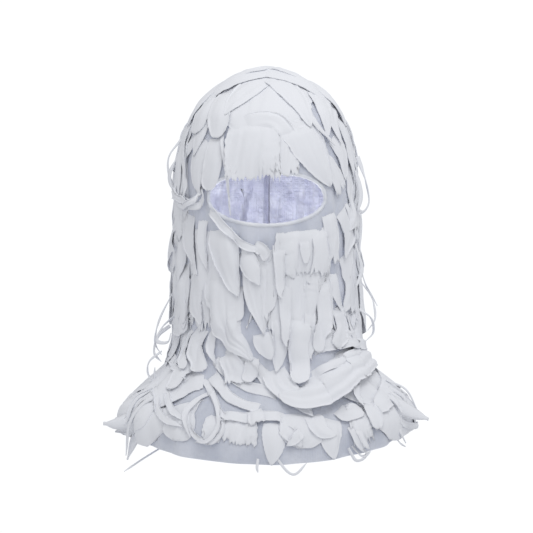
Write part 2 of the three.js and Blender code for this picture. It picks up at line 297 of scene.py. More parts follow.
    def nearest(self, points: np.ndarray) -> tuple[np.ndarray, np.ndarray]:
        """Drops points onto the surface.

        Args:
            points: Rows of x, y and z in metres.

        Returns:
            The surface points and the outward normals there.
        """
        found = [self.tree.find_nearest(Vector(p))[:2] for p in points]
        return np.array([f[0] for f in found]), np.array([f[1] for f in found])

    def thickness(self, points: np.ndarray, radius: float) -> np.ndarray:
        """Gives the thickness of the cloth already laid near each surface point, in metres."""
        near = self.finder.find_range
        return np.array([max((self.cover[i] for _, i, _ in near(p, radius)), default=0) for p in points])

    def lay(self, points: np.ndarray, outside: np.ndarray, radius: float) -> None:
        """Notes that cloth now reaches outside, in metres, near each surface point."""
        for point, level in zip(points, outside):
            for _, i, _ in self.finder.find_range(point, radius):
                if self.cover[i] < level:
                    self.cover[i] = level


# ---------------------------------------------------------------------------------------------
# Cut pieces of leaf cloth
# ---------------------------------------------------------------------------------------------


@dataclass(frozen=True)
class Swatch:
    """One cut piece of cloth, described by the line that it lies along.

    A place on the route is x and z seen from the front, or degrees round the head and cloth
    height when turned is set. A third number holds it that far off the layers below.
    """

    route: Route
    width: float
    cut: Cut = Cut.LEAF
    turned: bool = False
    curl: float = 1.0
    lift: float = 3.0
    ruffle: float = 0.8
    crease: float = 0.8
    belly: float = 0.13
    root: float = 0.7
    inside: bool = False
    tuck: int = 0
    seed: int = 1


@dataclass
class Grid:
    """A laid piece of cloth: its middle surface and its flat coordinates, row by row."""

    points: np.ndarray
    flat: np.ndarray
    edge: np.ndarray


@dataclass
class Sampling:
    """Where a piece is sampled: shares along and across it, its half-widths and its length."""

    along: np.ndarray
    across: np.ndarray
    flat_part: float
    halves: np.ndarray
    length: float


class Draper:
    """Lays cut pieces over the worn form, each on top of what is there already.

    STEP and TOOTH are the spacing of samples, CLOTH the thickness and AIR the gap under it. REACH is
    how far off a lump below is felt, and SINK how deep a sewn end goes in. RIM is the rolled width
    and ROLLED_MOST its largest share of a narrow piece. PRESS is how much of a lift is left under
    more cloth, and DEEPEST the thickest pile. RIM_HIGHLIGHT_WIDTH is how far in the painted rim
    highlight reaches.
    """

    STEP = 2.0
    TOOTH = 1.2
    CLOTH = 0.6
    AIR = 0.15
    REACH = 2.6
    PRESS = 0.3
    SINK = 0.7
    RIM = 2.6
    ROLLED_MOST = 0.42
    DEEPEST = 4.8
    FINE_FOLD = 0.9
    # Width in millimetres of the painted highlight along the cut rims.
    RIM_HIGHLIGHT_WIDTH = 1.5
    BROAD = 40
    BROAD_PASSES = 70
    PASSES = 14

    def __init__(self, form: WornForm) -> None:
        """Keeps the form to lay on."""
        self.form = form

    def half_width(self, swatch: Swatch, along: np.ndarray) -> np.ndarray:
        """Gives the half-width of a cut piece at shares of its length.

        Args:
            swatch: The piece.
            along: Shares from the sewn end to the free end.

        Returns:
            Half-widths in millimetres.
        """
        if swatch.cut is Cut.LEAF:
            swell = np.sin(np.pi * np.clip(along * 0.9 + 0.05, 0, 0.5))
            shape = mix(swatch.root, 1, swell) * (1 - along**2.3) ** 0.85
        elif swatch.cut is Cut.LOBE:
            shape = mix(swatch.root, 1, np.sin(np.pi / 2 * np.clip(along * 1.7, 0, 1)))
            shape = shape * (1 - along**7) ** 0.5
        elif swatch.cut is Cut.STRIP:
            shape = mix(1, 0.75, along) * (1 - along**9) ** 0.6
        elif swatch.cut is Cut.RAG:
            shape = mix(swatch.root, 1, np.sin(np.pi / 2 * np.clip(along * 2.2, 0, 1)))
        else:
            shape = np.ones_like(along)
        jag = [1 + 0.05 * wander(swatch.seed, a, 9) + 0.05 * wander(swatch.seed + 5, a, 31) for a in along]
        return np.maximum(swatch.width / 2 * shape * np.array(jag), 0.25)

    def line(self, swatch: Swatch) -> tuple[np.ndarray, np.ndarray, float]:
        """Samples a swatch's route evenly on the surface.

        Args:
            swatch: The piece.

        Returns:
            The stations, their stand-off in metres, and the length in metres.
        """
        find = self.form.around if swatch.turned else self.form.front
        knots = [find(place[0], place[1]) for place in swatch.route]
        off = [place[2] * MM if len(place) > 2 else 0.0 for place in swatch.route]
        knots = np.array([[*knot, o] for knot, o in zip(knots, off)])
        fine = curve_through(knots, 24)
        steps = np.linalg.norm(np.diff(fine[:, :3], axis=0), axis=1)
        reach = np.concatenate([[0], np.cumsum(steps)])
        count = max(5, int(reach[-1] / MM / self.STEP) + 1)
        wanted = np.linspace(0, reach[-1], count)
        even = np.stack([np.interp(wanted, reach, fine[:, axis]) for axis in range(4)], axis=1)
        return even[:, :3], even[:, 3], float(reach[-1])

    def sample(self, swatch: Swatch, rows: int, length: float) -> Sampling:
        """Chooses where a piece is sampled: evenly on its flat part, and closer on its rims.

        Args:
            swatch: The piece.
            rows: How many stations its line has.
            length: The length of its line, in metres.

        Returns:
            The rows and columns of the piece.
        """
        rolled = min(self.ROLLED_MOST, self.RIM / (swatch.width / 2))
        step, fewest = (self.TOOTH, 7) if swatch.cut is Cut.RAG else (self.STEP, 3)
        inner = max(fewest, int(swatch.width * (1 - rolled) / step) | 1)
        rim = np.linspace(1 - rolled, 1, 5)[1:]
        across = np.concatenate([-rim[::-1], np.linspace(rolled - 1, 1 - rolled, inner), rim])
        along = np.linspace(0, 1, rows)
        return Sampling(along, across, 1 - rolled, self.half_width(swatch, along), length)

    def shorten(self, swatch: Swatch, at: Sampling) -> np.ndarray:
        """Gives how much of its length each column of a torn or slanted end lacks."""
        if swatch.cut is Cut.RAG:
            tears = [0.2 * abs(wander(swatch.seed, v, 7)) + 0.22 * abs(wander(swatch.seed, v, 23))
                     for v in at.across]
            return np.array(tears)
        if swatch.cut is Cut.STRIP:
            return 0.5 * swatch.width * MM / at.length * (at.across + 1) / 2
        return np.zeros(len(at.across))

    def fold(self, swatch: Swatch, at: Sampling) -> tuple[np.ndarray, np.ndarray]:
        """Rolls the rims of a piece, and ruffles and creases the cloth between them.

        Args:
            swatch: The piece.
            at: Its rows and columns.

        Returns:
            Distances from the middle line and heights over the flat cloth, in millimetres.
        """
        seed, across, flat_part = swatch.seed, at.across, at.flat_part
        turn = np.clip(np.abs(across) - flat_part, 0, None) / (1 - flat_part)
        lean = wander(seed + 6, 0.3)
        rims = np.where(across > 0, 1 + 1.4 * lean, 1 - 1.4 * lean)
        reaches, lifts = [], []
        for half, share in zip(at.halves, at.along):
            bend = swatch.curl * math.sin(math.pi * min(1, 0.15 + share * 0.8))
            waver = np.array([wander(seed + (2 if v > 0 else 12), share, 4) for v in across])
            bend = np.maximum(bend * rims * (1 + 0.9 * waver), 0.05)
            radius = half * (1 - flat_part) / bend
            reach = np.minimum(np.abs(across), flat_part) * half + radius * np.sin(bend * turn)
            rise = radius * (1 - np.cos(bend * turn))
            wave = swatch.ruffle * np.array([wander(seed + 9, share, 5 + 2 * v) * v for v in across])
            runs = share * at.length / MM / 26
            crease = swatch.crease * np.array([wander(seed + 3, v + 0.4 * share, 3.1) for v in across])
            crease += self.FINE_FOLD * np.array([wander(seed + 13, v * half / 5 + runs) for v in across])
            belly = min(swatch.belly * half, 2.2) * (1 - (across / flat_part) ** 2).clip(0)
            tilt = 0.7 * lean * across * share
            lifts.append(rise + np.abs(wave) + (crease + belly) * math.sin(math.pi * share) + tilt)
            reaches.append(np.sign(across) * reach)
        return np.array(reaches), np.array(lifts)

    def settle(self, swatch: Swatch, ground: np.ndarray, at: Sampling, lifts: np.ndarray) -> np.ndarray:
        """Finds how far out each point lies, on top of the cloth there, and notes the new thickness.

        Args:
            swatch: The piece.
            ground: The surface points below it.
            at: Its rows and columns.
            lifts: Heights over the flat cloth, and the stand-off, in metres.

        Returns:
            Distances out from the bare form, in metres.
        """
        shape = lifts.shape[1:]
        needed = self.form.thickness(ground, self.REACH * MM).reshape(shape)
        needed = needed + (self.AIR + self.CLOTH / 2) * MM
        level = needed.copy()
        for _ in range(self.BROAD_PASSES if swatch.width > self.BROAD else self.PASSES):
            soft = level.copy()
            soft[1:-1] = (level[:-2] + level[2:] + 2 * level[1:-1]) / 4
            soft[:, 1:-1] = (soft[:, :-2] + soft[:, 2:] + 2 * soft[:, 1:-1]) / 4
            level = np.maximum(needed, soft)
        raised, off = lifts
        resting = level + 0.3 * off
        tip = 0.7 * swatch.lift * MM * (at.along[:, None] ** 1.6)
        level = level + tip + off + np.maximum(raised, 0)
        if swatch.inside:
            return -level - (self.form.sizes.knit + 1) * MM
        # Cloth laid on top presses curls and lifted tips most of the way down again.
        pressed = resting + self.PRESS * (level - resting) + self.CLOTH / 2 * MM
        sunk = 1 - smooth(0, 0.2, at.along)
        if swatch.cut is Cut.PATCH:
            sunk = np.maximum(sunk, smooth(0.82, 1, at.along))
        sunk = np.maximum(sunk[:, None], smooth(0.2, 0.95, at.across * swatch.tuck)[None, :])
        local = self.form.thickness(ground, 1.3 * MM).reshape(shape) - self.SINK * MM
        pressed = mix(pressed, local, sunk)
        self.form.lay(ground, np.minimum(pressed, self.DEEPEST * MM).ravel(), 1.6 * MM)
        return mix(level, local, sunk)

    def spread(self, swatch: Swatch) -> Grid:
        """Lays one piece, and notes its thickness on the form.

        Args:
            swatch: The piece.

        Returns:
            The laid piece.
        """
        spine, off, length = self.line(swatch)
        rows = len(spine)
        feet, normals = self.form.nearest(spine)
        aside = unit(np.cross(normals, unit(np.gradient(feet, axis=0))))
        at = self.sample(swatch, rows, length)
        reaches, lifts = self.fold(swatch, at)
        station = at.along[:, None] * (1 - self.shorten(swatch, at)) * (rows - 1)
        low = np.minimum(station.astype(int), rows - 2)
        share = (station - low)[..., None]
        centre = feet[low] * (1 - share) + feet[low + 1] * share
        side = aside[low] * (1 - share) + aside[low + 1] * share
        places = centre + side * reaches[..., None] * MM
        ground, outward = self.form.nearest(places.reshape(-1, 3))
        heights = np.stack([lifts * MM, np.broadcast_to(off[:, None], lifts.shape)])
        level = self.settle(swatch, ground, at, heights)
        points = ground + outward * level.reshape(-1, 1)
        flat = np.stack(np.meshgrid(at.along * length, at.across, indexing="ij"), axis=-1)
        flat[..., 1] *= at.halves[:, None] * MM
        in_from_side = (1 - np.abs(at.across))[None, :] * at.halves[:, None]
        in_from_end = (1 - at.along)[:, None] * length / MM
        # Mask of the painted rim highlight: 1 at a cut rim or the free end, fading within about 1.5 mm.
        edge = np.exp(-((np.minimum(in_from_side, in_from_end) / self.RIM_HIGHLIGHT_WIDTH) ** 2))
        return Grid(points.reshape(*lifts.shape, 3), flat, edge)


class Piece:
    """Gathers laid cloth into one named object."""

    def __init__(self, name: str, body: str = "hood", finish: Finish = Finish.LEAF) -> None:
        """Starts an empty piece.

        Args:
            name: The object's name.
            body: The body that it moves with, or nothing to leave it unattached.
            finish: What it is made in.
        """
        self.name = name
        self.body = body
        self.finish = finish
        self.vertices: list[np.ndarray] = []
        self.faces: list[np.ndarray] = []
        self.flat: list[np.ndarray] = []
        self.edge: list[np.ndarray] = []
        self.count = 0
        self.area = 0.0
        self.length = 0.0

    def add(self, grid: Grid, cloth: float = Draper.CLOTH) -> None:
        """Adds one laid grid, closed to a thin solid.

        Args:
            grid: The laid cloth.
            cloth: Its thickness in millimetres.
        """
        rows, columns = grid.points.shape[:2]
        down = np.gradient(grid.points, axis=0)
        over = np.gradient(grid.points, axis=1)
        half = unit(np.cross(down, over)) * cloth / 2 * MM
        index = np.arange(rows * columns).reshape(rows, columns) + self.count
        under = index + rows * columns
        quads = [
            np.stack([index[:-1, :-1], index[1:, :-1], index[1:, 1:], index[:-1, 1:]], -1),
            np.stack([under[:-1, :-1], under[:-1, 1:], under[1:, 1:], under[1:, :-1]], -1),
        ]
        rim = [
            np.stack([index[:-1, 0], under[:-1, 0], under[1:, 0], index[1:, 0]], -1),
            np.stack([index[:-1, -1], index[1:, -1], under[1:, -1], under[:-1, -1]], -1),
            np.stack([index[0, :-1], index[0, 1:], under[0, 1:], under[0, :-1]], -1),
            np.stack([index[-1, :-1], under[-1, :-1], under[-1, 1:], index[-1, 1:]], -1),
        ]
        self.vertices += [(grid.points + half).reshape(-1, 3), (grid.points - half).reshape(-1, 3)]
        self.faces += [quad.reshape(-1, 4) for quad in quads + rim]
        self.flat += [grid.flat.reshape(-1, 2)] * 2
        self.edge += [grid.edge.ravel()] * 2
        self.count += 2 * rows * columns
        one, two = grid.points[1:, 1:] - grid.points[:-1, :-1], grid.points[1:, :-1] - grid.points[:-1, 1:]
        self.area += float(np.linalg.norm(np.cross(one, two), axis=2).sum() / 2)
        self.length = max(self.length, float(grid.flat[-1, 0, 0]))

    def build(self) -> bpy.types.Object:
        """Makes the object, and rides it on its body.

        Returns:
            The object.
        """
        vertices = np.concatenate(self.vertices)
        faces = np.concatenate(self.faces)
        mesh = bpy.data.meshes.new(self.name)
        mesh.from_pydata(vertices.tolist(), [], faces.tolist())
        flat = np.concatenate(self.flat)
        edge = np.concatenate(self.edge)
        layer = mesh.uv_layers.new(name="cloth")
        corners = np.empty(len(mesh.loops), int)
        mesh.loops.foreach_get("vertex_index", corners)
        layer.data.foreach_set("uv", flat[corners].ravel())
        # The edge attribute carries the mask of the painted rim highlight.
        mark = mesh.attributes.new("edge", "FLOAT", "POINT")
        mark.data.foreach_set("value", edge.astype(np.float32))
        mesh.polygons.foreach_set("use_smooth", [True] * len(mesh.polygons))
        mesh.update()
        thing = bpy.data.objects.new(self.name, mesh)
        bpy.context.scene.collection.objects.link(thing)
        thing.data.materials.append(bpy.data.materials[self.finish.value])
        if self.body:
            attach(thing, self.body)
        LOG.info("%s: %d faces, %.0f cm2 of cloth", self.name, len(faces), self.area * 1e4)
        return thing


# ---------------------------------------------------------------------------------------------
# Finishes
# ---------------------------------------------------------------------------------------------


def linear(colour: str) -> tuple[float, float, float, float]:
    """Turns a hex colour such as #E8EBF2 into the renderer's linear values."""
    parts = [int(colour[i : i + 2], 16) / 255 for i in (1, 3, 5)]
    return (*(p / 12.92 if p <= 0.04045 else ((p + 0.055) / 1.055) ** 2.4 for p in parts), 1.0)


def add_node(tree: bpy.types.NodeTree, kind: str, **settings: object) -> bpy.types.Node:
    """Adds one shader node.

    Args:
        tree: The material's nodes.
        kind: The node's type, such as ShaderNodeMath.
        **settings: Properties of the node, and in0, in1 and so on for its inputs: a value, or the
            output socket that feeds it.

    Returns:
        The new node.
    """
    made = tree.nodes.new(kind)
    for name, value in settings.items():
        if name.startswith("in") and name[2:].isdigit():
            socket = made.inputs[int(name[2:])]
            if isinstance(value, bpy.types.NodeSocket):
                tree.links.new(value, socket)
            else:
                socket.default_value = value
        else:
            setattr(made, name, value)
    return made


def math_node(tree: bpy.types.NodeTree, step: str, *terms: object) -> bpy.types.NodeSocket:
    """Adds one arithmetic node, and gives its output."""
    inputs = {f"in{i}": term for i, term in enumerate(terms)}
    return add_node(tree, "ShaderNodeMath", operation=step, **inputs).outputs[0]


@dataclass(frozen=True)
class ClothFinish:
    """A white cloth: its tints, its threads, its crumples and its soft gleam.

    The tints are hex colours, the sizes are millimetres, and rim is the strength of a painted rim
    highlight.
    """

    name: Finish
    light: str
    dull: str
    thread: float
    relief: float
    patch: float
    crumple: float
    crumple_depth: float
    rough: float
    sheen: float
    knitted: bool = False
    rim: float = 0.0
    pull: float = 5.0

    def start(self) -> tuple[bpy.types.Material, bpy.types.NodeTree, bpy.types.Node]:
        """Makes the material with its one shader."""
        material = bpy.data.materials.new(self.name.value)
        material.use_nodes = True
        tree = material.node_tree
        shader = tree.nodes["Principled BSDF"]
        shader.inputs["Sheen Weight"].default_value = self.sheen
        shader.inputs["Sheen Roughness"].default_value = 0.45
        shader.inputs["Specular IOR Level"].default_value = 0.3
        # Thin white cloth lets light through, so that the gaps under it stay pale.
        shader.inputs["Subsurface Weight"].default_value = 0.35
        shader.inputs["Subsurface Radius"].default_value = (1.0, 1.0, 1.0)
        shader.inputs["Subsurface Scale"].default_value = 0.004
        return material, tree, shader

    def threads(self, tree: bpy.types.NodeTree, across: object, down: object) -> bpy.types.NodeSocket:
        """Draws the height of the weave or the knit.

        Args:
            tree: The material's nodes.
            across: Flat distance across the cloth, in metres.
            down: Flat distance down the cloth, in metres.

        Returns:
            A height from 0 to 1.
        """
        pitch = self.thread * MM
        if not self.knitted:
            warp = math_node(tree, "SINE", math_node(tree, "MULTIPLY", across, 2 * math.pi / pitch))
            weft = math_node(tree, "SINE", math_node(tree, "MULTIPLY", down, 2 * math.pi / pitch))
            plain = math_node(tree, "MULTIPLY", warp, weft)
            return math_node(tree, "MULTIPLY_ADD", plain, 0.5, 0.5)
        wale = math_node(tree, "SINE", math_node(tree, "MULTIPLY", across, math.pi / pitch))
        rib = math_node(tree, "ABSOLUTE", wale)
        row = math_node(tree, "MULTIPLY", down, 2 * math.pi / (pitch * 0.8))
        slanted = math_node(tree, "SINE", math_node(tree, "MULTIPLY_ADD", rib, math.pi, row))
        return math_node(tree, "MULTIPLY_ADD", slanted, 0.3, math_node(tree, "MULTIPLY", rib, 0.6))

    def build(self) -> None:
        """Makes the material."""
        material, tree, shader = self.start()
        flat = add_node(tree, "ShaderNodeUVMap", uv_map="cloth")
        place = add_node(tree, "ShaderNodeTexCoord").outputs["Object"]
        split = add_node(tree, "ShaderNodeSeparateXYZ", in0=flat.outputs[0])
        height = self.threads(tree, split.outputs[1], split.outputs[0])
        tint = add_node(tree, "ShaderNodeTexNoise", in0=place, in2=1 / (self.patch * MM), in3=3.0)
        blend = add_node(tree, "ShaderNodeMapRange", in0=tint.outputs[0], in1=0.35, in2=0.68)
        colour = add_node(tree, "ShaderNodeMix", data_type="RGBA")
        tree.links.new(blend.outputs[0], colour.inputs[0])
        colour.inputs[6].default_value = linear(self.dull)
        colour.inputs[7].default_value = linear(self.light)
        shown = colour.outputs[2]
        if self.rim:
            # Painted highlight: the cut rims are lightened toward near-white.
            mark = add_node(tree, "ShaderNodeAttribute", attribute_name="edge").outputs["Fac"]
            strong = math_node(tree, "MULTIPLY", mark, self.rim)
            painted_rim_highlight = add_node(tree, "ShaderNodeMix", data_type="RGBA")
            tree.links.new(strong, painted_rim_highlight.inputs[0])
            tree.links.new(shown, painted_rim_highlight.inputs[6])
            painted_rim_highlight.inputs[7].default_value = linear("#FDFDFF")
            shown = painted_rim_highlight.outputs[2]
        tree.links.new(shown, shader.inputs["Base Color"])
        dry = add_node(tree, "ShaderNodeMapRange", in0=tint.outputs[0], in3=self.rough - 0.08,
                       in4=self.rough + 0.08)
        tree.links.new(dry.outputs[0], shader.inputs["Roughness"])
        folds = add_node(tree, "ShaderNodeTexNoise", in0=place, in2=1 / (self.crumple * MM), in3=4.0)
        # Fine pulls that run along each piece, six times as long as they are wide.
        lengthwise = add_node(tree, "ShaderNodeMapping", in0=flat.outputs[0])
        lengthwise.inputs["Scale"].default_value = (1 / (self.pull * 6 * MM), 1 / (self.pull * MM), 1)
        pulls = add_node(tree, "ShaderNodeTexNoise", in0=lengthwise.outputs[0], in2=1.0, in3=3.0)
        relief = math_node(tree, "MULTIPLY_ADD", pulls.outputs[0], 0.8, folds.outputs[0])
        soft = add_node(tree, "ShaderNodeBump")
        soft.inputs["Distance"].default_value = self.crumple_depth * MM
        tree.links.new(relief, soft.inputs["Height"])
        fine = add_node(tree, "ShaderNodeBump")
        fine.inputs["Distance"].default_value = self.relief * MM
        tree.links.new(height, fine.inputs["Height"])
        tree.links.new(soft.outputs[0], fine.inputs["Normal"])
        tree.links.new(fine.outputs[0], shader.inputs["Normal"])


FINISHES = (
    # Fine polyester leaf cloth. Real threads are about 0.3 mm apart and are drawn at 0.7 mm, so
    # that they hold together; the eye gets a smooth, faintly gleaming white with painted highlights on its
    # rims.
    ClothFinish(Finish.LEAF, "#D8DBE3", "#BFC4D0", 0.7, 0.05, 30, 14, 1.8, 0.6, 0.2, rim=1.0),
    # Soft brushed jersey of the hood: wales 1.6 mm apart, which read as a fine upright grain.
    ClothFinish(Finish.KNIT, "#DCDFE8", "#CBCFDA", 1.6, 0.08, 30, 12, 1.0, 0.75, 0.3, knitted=True),
    # The jersey's inner face, a shade more lavender and fuzzier than the outside.
    ClothFinish(Finish.LINING, "#DDDFEA", "#C9CBDB", 1.8, 0.4, 14, 5, 1.6, 0.85, 0.4, knitted=True),
    # Fold-over binding tape with a close satin weave.
    ClothFinish(Finish.TRIM, "#F1F3F8", "#E4E7EF", 0.6, 0.06, 20, 8, 0.3, 0.5, 0.2),
    # Overlocked seam allowance: dense greyish thread.
    ClothFinish(Finish.SEAM, "#BFC1D1", "#A6A8BC", 0.9, 0.3, 6, 3, 0.4, 0.85, 0.3),
)


# ---------------------------------------------------------------------------------------------
# The sub-assemblies
# ---------------------------------------------------------------------------------------------


@dataclass
class KnitHood:
    """The jersey hood and cape in one shell, with its lining face, seams and eye opening."""

    form: WornForm
    columns: int = 224
    rows: int = 150
    hem_raise: float = 6
    seam_thick: float = 1.6
    tape_turns: int = 150
    tape_ring: int = 14
    tape_half: float = 2.0
    tape_deep: tuple[float, float] = (1.9, 1.7)
    folds: Sequence[tuple[float, float, float]] = (
        (-38, 5.5, 4.2), (-30, 6.5, 2.4), (-17, 4.0, 2.6), (11, 5.0, 3.4), (17, 2.5, 2.0),
        (29, 5.5, 3.0), (41, 4.0, 2.5), (-52, 5.0, 3.5), (54, 5.0, 3.5),
    )

    def eye(self, x: np.ndarray, z: np.ndarray) -> np.ndarray:
        """Gives 1 on the rim of the eye opening, and less inside it."""
        s = self.form.sizes
        flat = np.where(z > s.eye_height, 2.5, 2.0)
        return np.abs(x / s.eye_side) ** flat + np.abs((z - s.eye_height) / s.eye_up) ** flat

    def open_eye(self, outer: np.ndarray) -> np.ndarray:
        """Moves points from inside the eye opening out to its rim.

        Args:
            outer: Points of the outer side, which are moved in place.

        Returns:
            Which of them were inside.
        """
        level = self.form.sizes.eye_height
        x, z = outer[:, 0] / MM, (outer[:, 2] - self.form.base) / MM
        value = self.eye(x, z)
        inside = (value < 1) & (outer[:, 1] < 0)
        for i in np.nonzero(inside)[0]:
            grow = value[i] ** -0.45 if value[i] > 1e-6 else 1
            outer[i] = self.form.true_front(x[i] * grow, level + (z[i] - level) * grow)
        return inside

    def lining(self, outer: np.ndarray) -> np.ndarray:
        """Gives the inner side, which hangs in upright folds at the back of the head.

        Args:
            outer: Points of the outer side.

        Returns:
            One inner point for each.
        """
        x, z = outer[:, 0] / MM, (outer[:, 2] - self.form.base) / MM
        _, normal = self.form.nearest(outer)
        crease = np.zeros(len(outer))
        back = (outer[:, 1] > 0) & (z > 120)
        for place, depth, wide in self.folds:
            bent = place + 3 * np.sin(z / 23 + place) + 0.06 * (z - self.form.sizes.eye_height)
            crease += depth * np.exp(-(((x - bent) / wide) ** 2)) * back
        crease *= smooth(120, 170, z) * (1 - smooth(300, 350, z))
        crease += 0.8 * np.abs(np.sin(z / 9 + x / 14)) * back
        return outer - normal * ((self.form.sizes.knit + crease) * MM)[:, None]

    def rim(self, quads: np.ndarray, count: int) -> list[tuple[int, ...]]:
        """Gives the faces that join the two sides along the hem and the eye opening.

        Args:
            quads: Faces of the outer side.
            count: How many points the outer side has.

        Returns:
            Faces, as indices of their corners.
        """
        edges: dict[tuple[int, int], tuple[int, ...]] = {}
        for face in quads.tolist():
            for a, b in zip(face, face[1:] + face[:1]):
                key = (min(a, b), max(a, b))
                edges[key] = () if key in edges else (a, b)
        top = count - self.columns
        free = [edge for edge in edges.values() if edge]
        return [(b, a, a + count, b + count) for a, b in free if a < top or b < top]

    def build(self) -> bpy.types.Object:
        """Makes the shell.

        Returns:
            The object.
        """
        form = self.form
        angles = np.linspace(-math.pi, math.pi, self.columns, endpoint=False)
        # The hem is a little higher in front and behind than at the shoulders.
        lowest = self.hem_raise * np.cos(angles) ** 2
        share = np.linspace(0, 1, self.rows)[:, None]
        heights = lowest[None, :] * (1 - share) + (form.top - 0.5) * share
        outer = form.at(np.broadcast_to(angles, heights.shape), heights).reshape(-1, 3)
        inside = self.open_eye(outer)
        index = np.arange(outer.shape[0]).reshape(self.rows, self.columns)
        right = np.roll(index, -1, axis=1)
        quads = np.stack([index[:-1], right[:-1], right[1:], index[1:]], -1).reshape(-1, 4)
        quads = quads[~inside[quads].all(axis=1)]
        lining = self.lining(outer)
        count = len(outer)
        rim = self.rim(quads, count)
        cap = [tuple(index[-1].tolist()), tuple((index[-1][::-1] + count).tolist())]
        faces = quads.tolist() + (quads[:, ::-1] + count).tolist() + rim + cap
        mesh = bpy.data.meshes.new("knit_hood")
        mesh.from_pydata(np.vstack([outer, lining]).tolist(), [], faces)
        self.dress(mesh, angles, heights, len(quads), count)
        thing = bpy.data.objects.new("knit_hood", mesh)
        bpy.context.scene.collection.objects.link(thing)
        thing.data.materials.append(bpy.data.materials[Finish.KNIT.value])
        thing.data.materials.append(bpy.data.materials[Finish.LINING.value])
        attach(thing, "hood")
        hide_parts("hood_panel_left", "hood_panel_right", "cape_panel_left", "cape_panel_right",
                    "hem_fold_left", "hem_fold_right")
        return thing

    def dress(self, mesh: bpy.types.Mesh, angles: np.ndarray, heights: np.ndarray, skin: int,
              count: int) -> None:
        """Gives the shell its flat coordinates, its lining face and its smooth shading.

        Args:
            mesh: The shell.
            angles: Angles of its columns.
            heights: Cloth heights of its points.
            skin: How many faces the outer side has.
            count: How many points the outer side has.
        """
        across = np.broadcast_to(angles * 0.1, heights.shape).ravel()
        flat = np.stack([heights.ravel() * MM, across], axis=1)
        layer = mesh.uv_layers.new(name="cloth")
        corners = np.empty(len(mesh.loops), int)
        mesh.loops.foreach_get("vertex_index", corners)
        layer.data.foreach_set("uv", flat[corners % count].ravel())
        sides = [0] * skin + [1] * skin + [0] * (len(mesh.polygons) - 2 * skin)
        mesh.polygons.foreach_set("material_index", sides)
        mesh.polygons.foreach_set("use_smooth", [True] * len(mesh.polygons))
        mesh.set_sharp_from_angle(angle=math.radians(60))

    def seams(self) -> list[bpy.types.Object]:
        """Lays the overlocked seam allowances inside the shell."""
        runs = {
            "crown_seam": ([(180, 150), (180, 200), (180, 262), (180, 330), (180, 400), (180, 430)], 5.0),
            "chin_seam": ([(0, 222), (0, 190), (0, 150), (0, 120)], 4.0),
            "cape_front_seam": ([(0, 112), (0, 80), (0, 45), (0, 16)], 4.0),
            "cape_back_seam": ([(180, 112), (180, 80), (180, 45), (180, 16)], 4.0),
            "neck_seam_left": ([(4, 118), (45, 118), (90, 118), (135, 118), (176, 118)], 4.0),
            "neck_seam_right": ([(-4, 118), (-45, 118), (-90, 118), (-135, 118), (-176, 118)], 4.0),
        }
        made = []
        draper = Draper(self.form)
        for name, (route, width) in runs.items():
            piece = Piece(f"{name}_allowance", finish=Finish.SEAM)
            swatch = Swatch(route, width, Cut.PATCH, turned=True, curl=0.6, lift=0, ruffle=0.3,
                            inside=True, seed=len(name))
            piece.add(draper.spread(swatch), cloth=self.seam_thick)
            thing = piece.build()
            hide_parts(name)
            made.append(thing)
        return made

    def binding(self) -> bpy.types.Object:
        """Folds the binding tape over the rim of the eye opening, and hides the elastic inside it."""
        s = self.form.sizes
        turns, ring = self.tape_turns, self.tape_ring
        piece = Piece("eye_binding_tape", finish=Finish.TRIM)
        middle = []
        for t in np.linspace(0, 2 * math.pi, turns, endpoint=False):
            up = math.sin(t)
            power = 2 / 2.5 if up > 0 else 1.0
            x = s.eye_side * np.sign(math.cos(t)) * abs(math.cos(t)) ** power
            z = s.eye_up * np.sign(up) * abs(up) ** power
            middle.append(self.form.true_front(x, s.eye_height + z))
        middle = np.array(middle)
        _, outward = self.form.nearest(middle)
        away = np.cross(unit(np.roll(middle, -1, axis=0) - np.roll(middle, 1, axis=0)), outward)
        vertices, flat = [], []
        run = 0.0
        for k in range(turns):
            run += float(np.linalg.norm(middle[k] - middle[k - 1]))
            pucker = 1 + 0.10 * math.sin(run * 900) + 0.12 * wander(3, run * 60)
            core = middle[k] - outward[k] * s.knit / 2 * MM
            for j in range(ring):
                turn = 2 * math.pi * j / ring
                wide = self.tape_half * math.cos(turn) * MM * pucker
                deep = self.tape_deep[math.cos(turn) >= 0.2] * math.sin(turn) * MM * pucker
                vertices.append(core + away[k] * wide + outward[k] * deep)
                flat.append((run, turn * 2 * MM))
        index = np.arange(turns * ring).reshape(turns, ring)
        ahead, beside = np.roll(index, -1, axis=0), np.roll(index, -1, axis=1)
        corner = np.roll(ahead, -1, axis=1)
        piece.vertices = [np.array(vertices)]
        piece.faces = [np.stack([index, ahead, corner, beside], -1).reshape(-1, 4)]
        piece.flat = [np.array(flat)]
        piece.edge = [np.zeros(len(vertices))]
        thing = piece.build()
        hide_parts("eye_binding", "eye_elastic")
        return thing


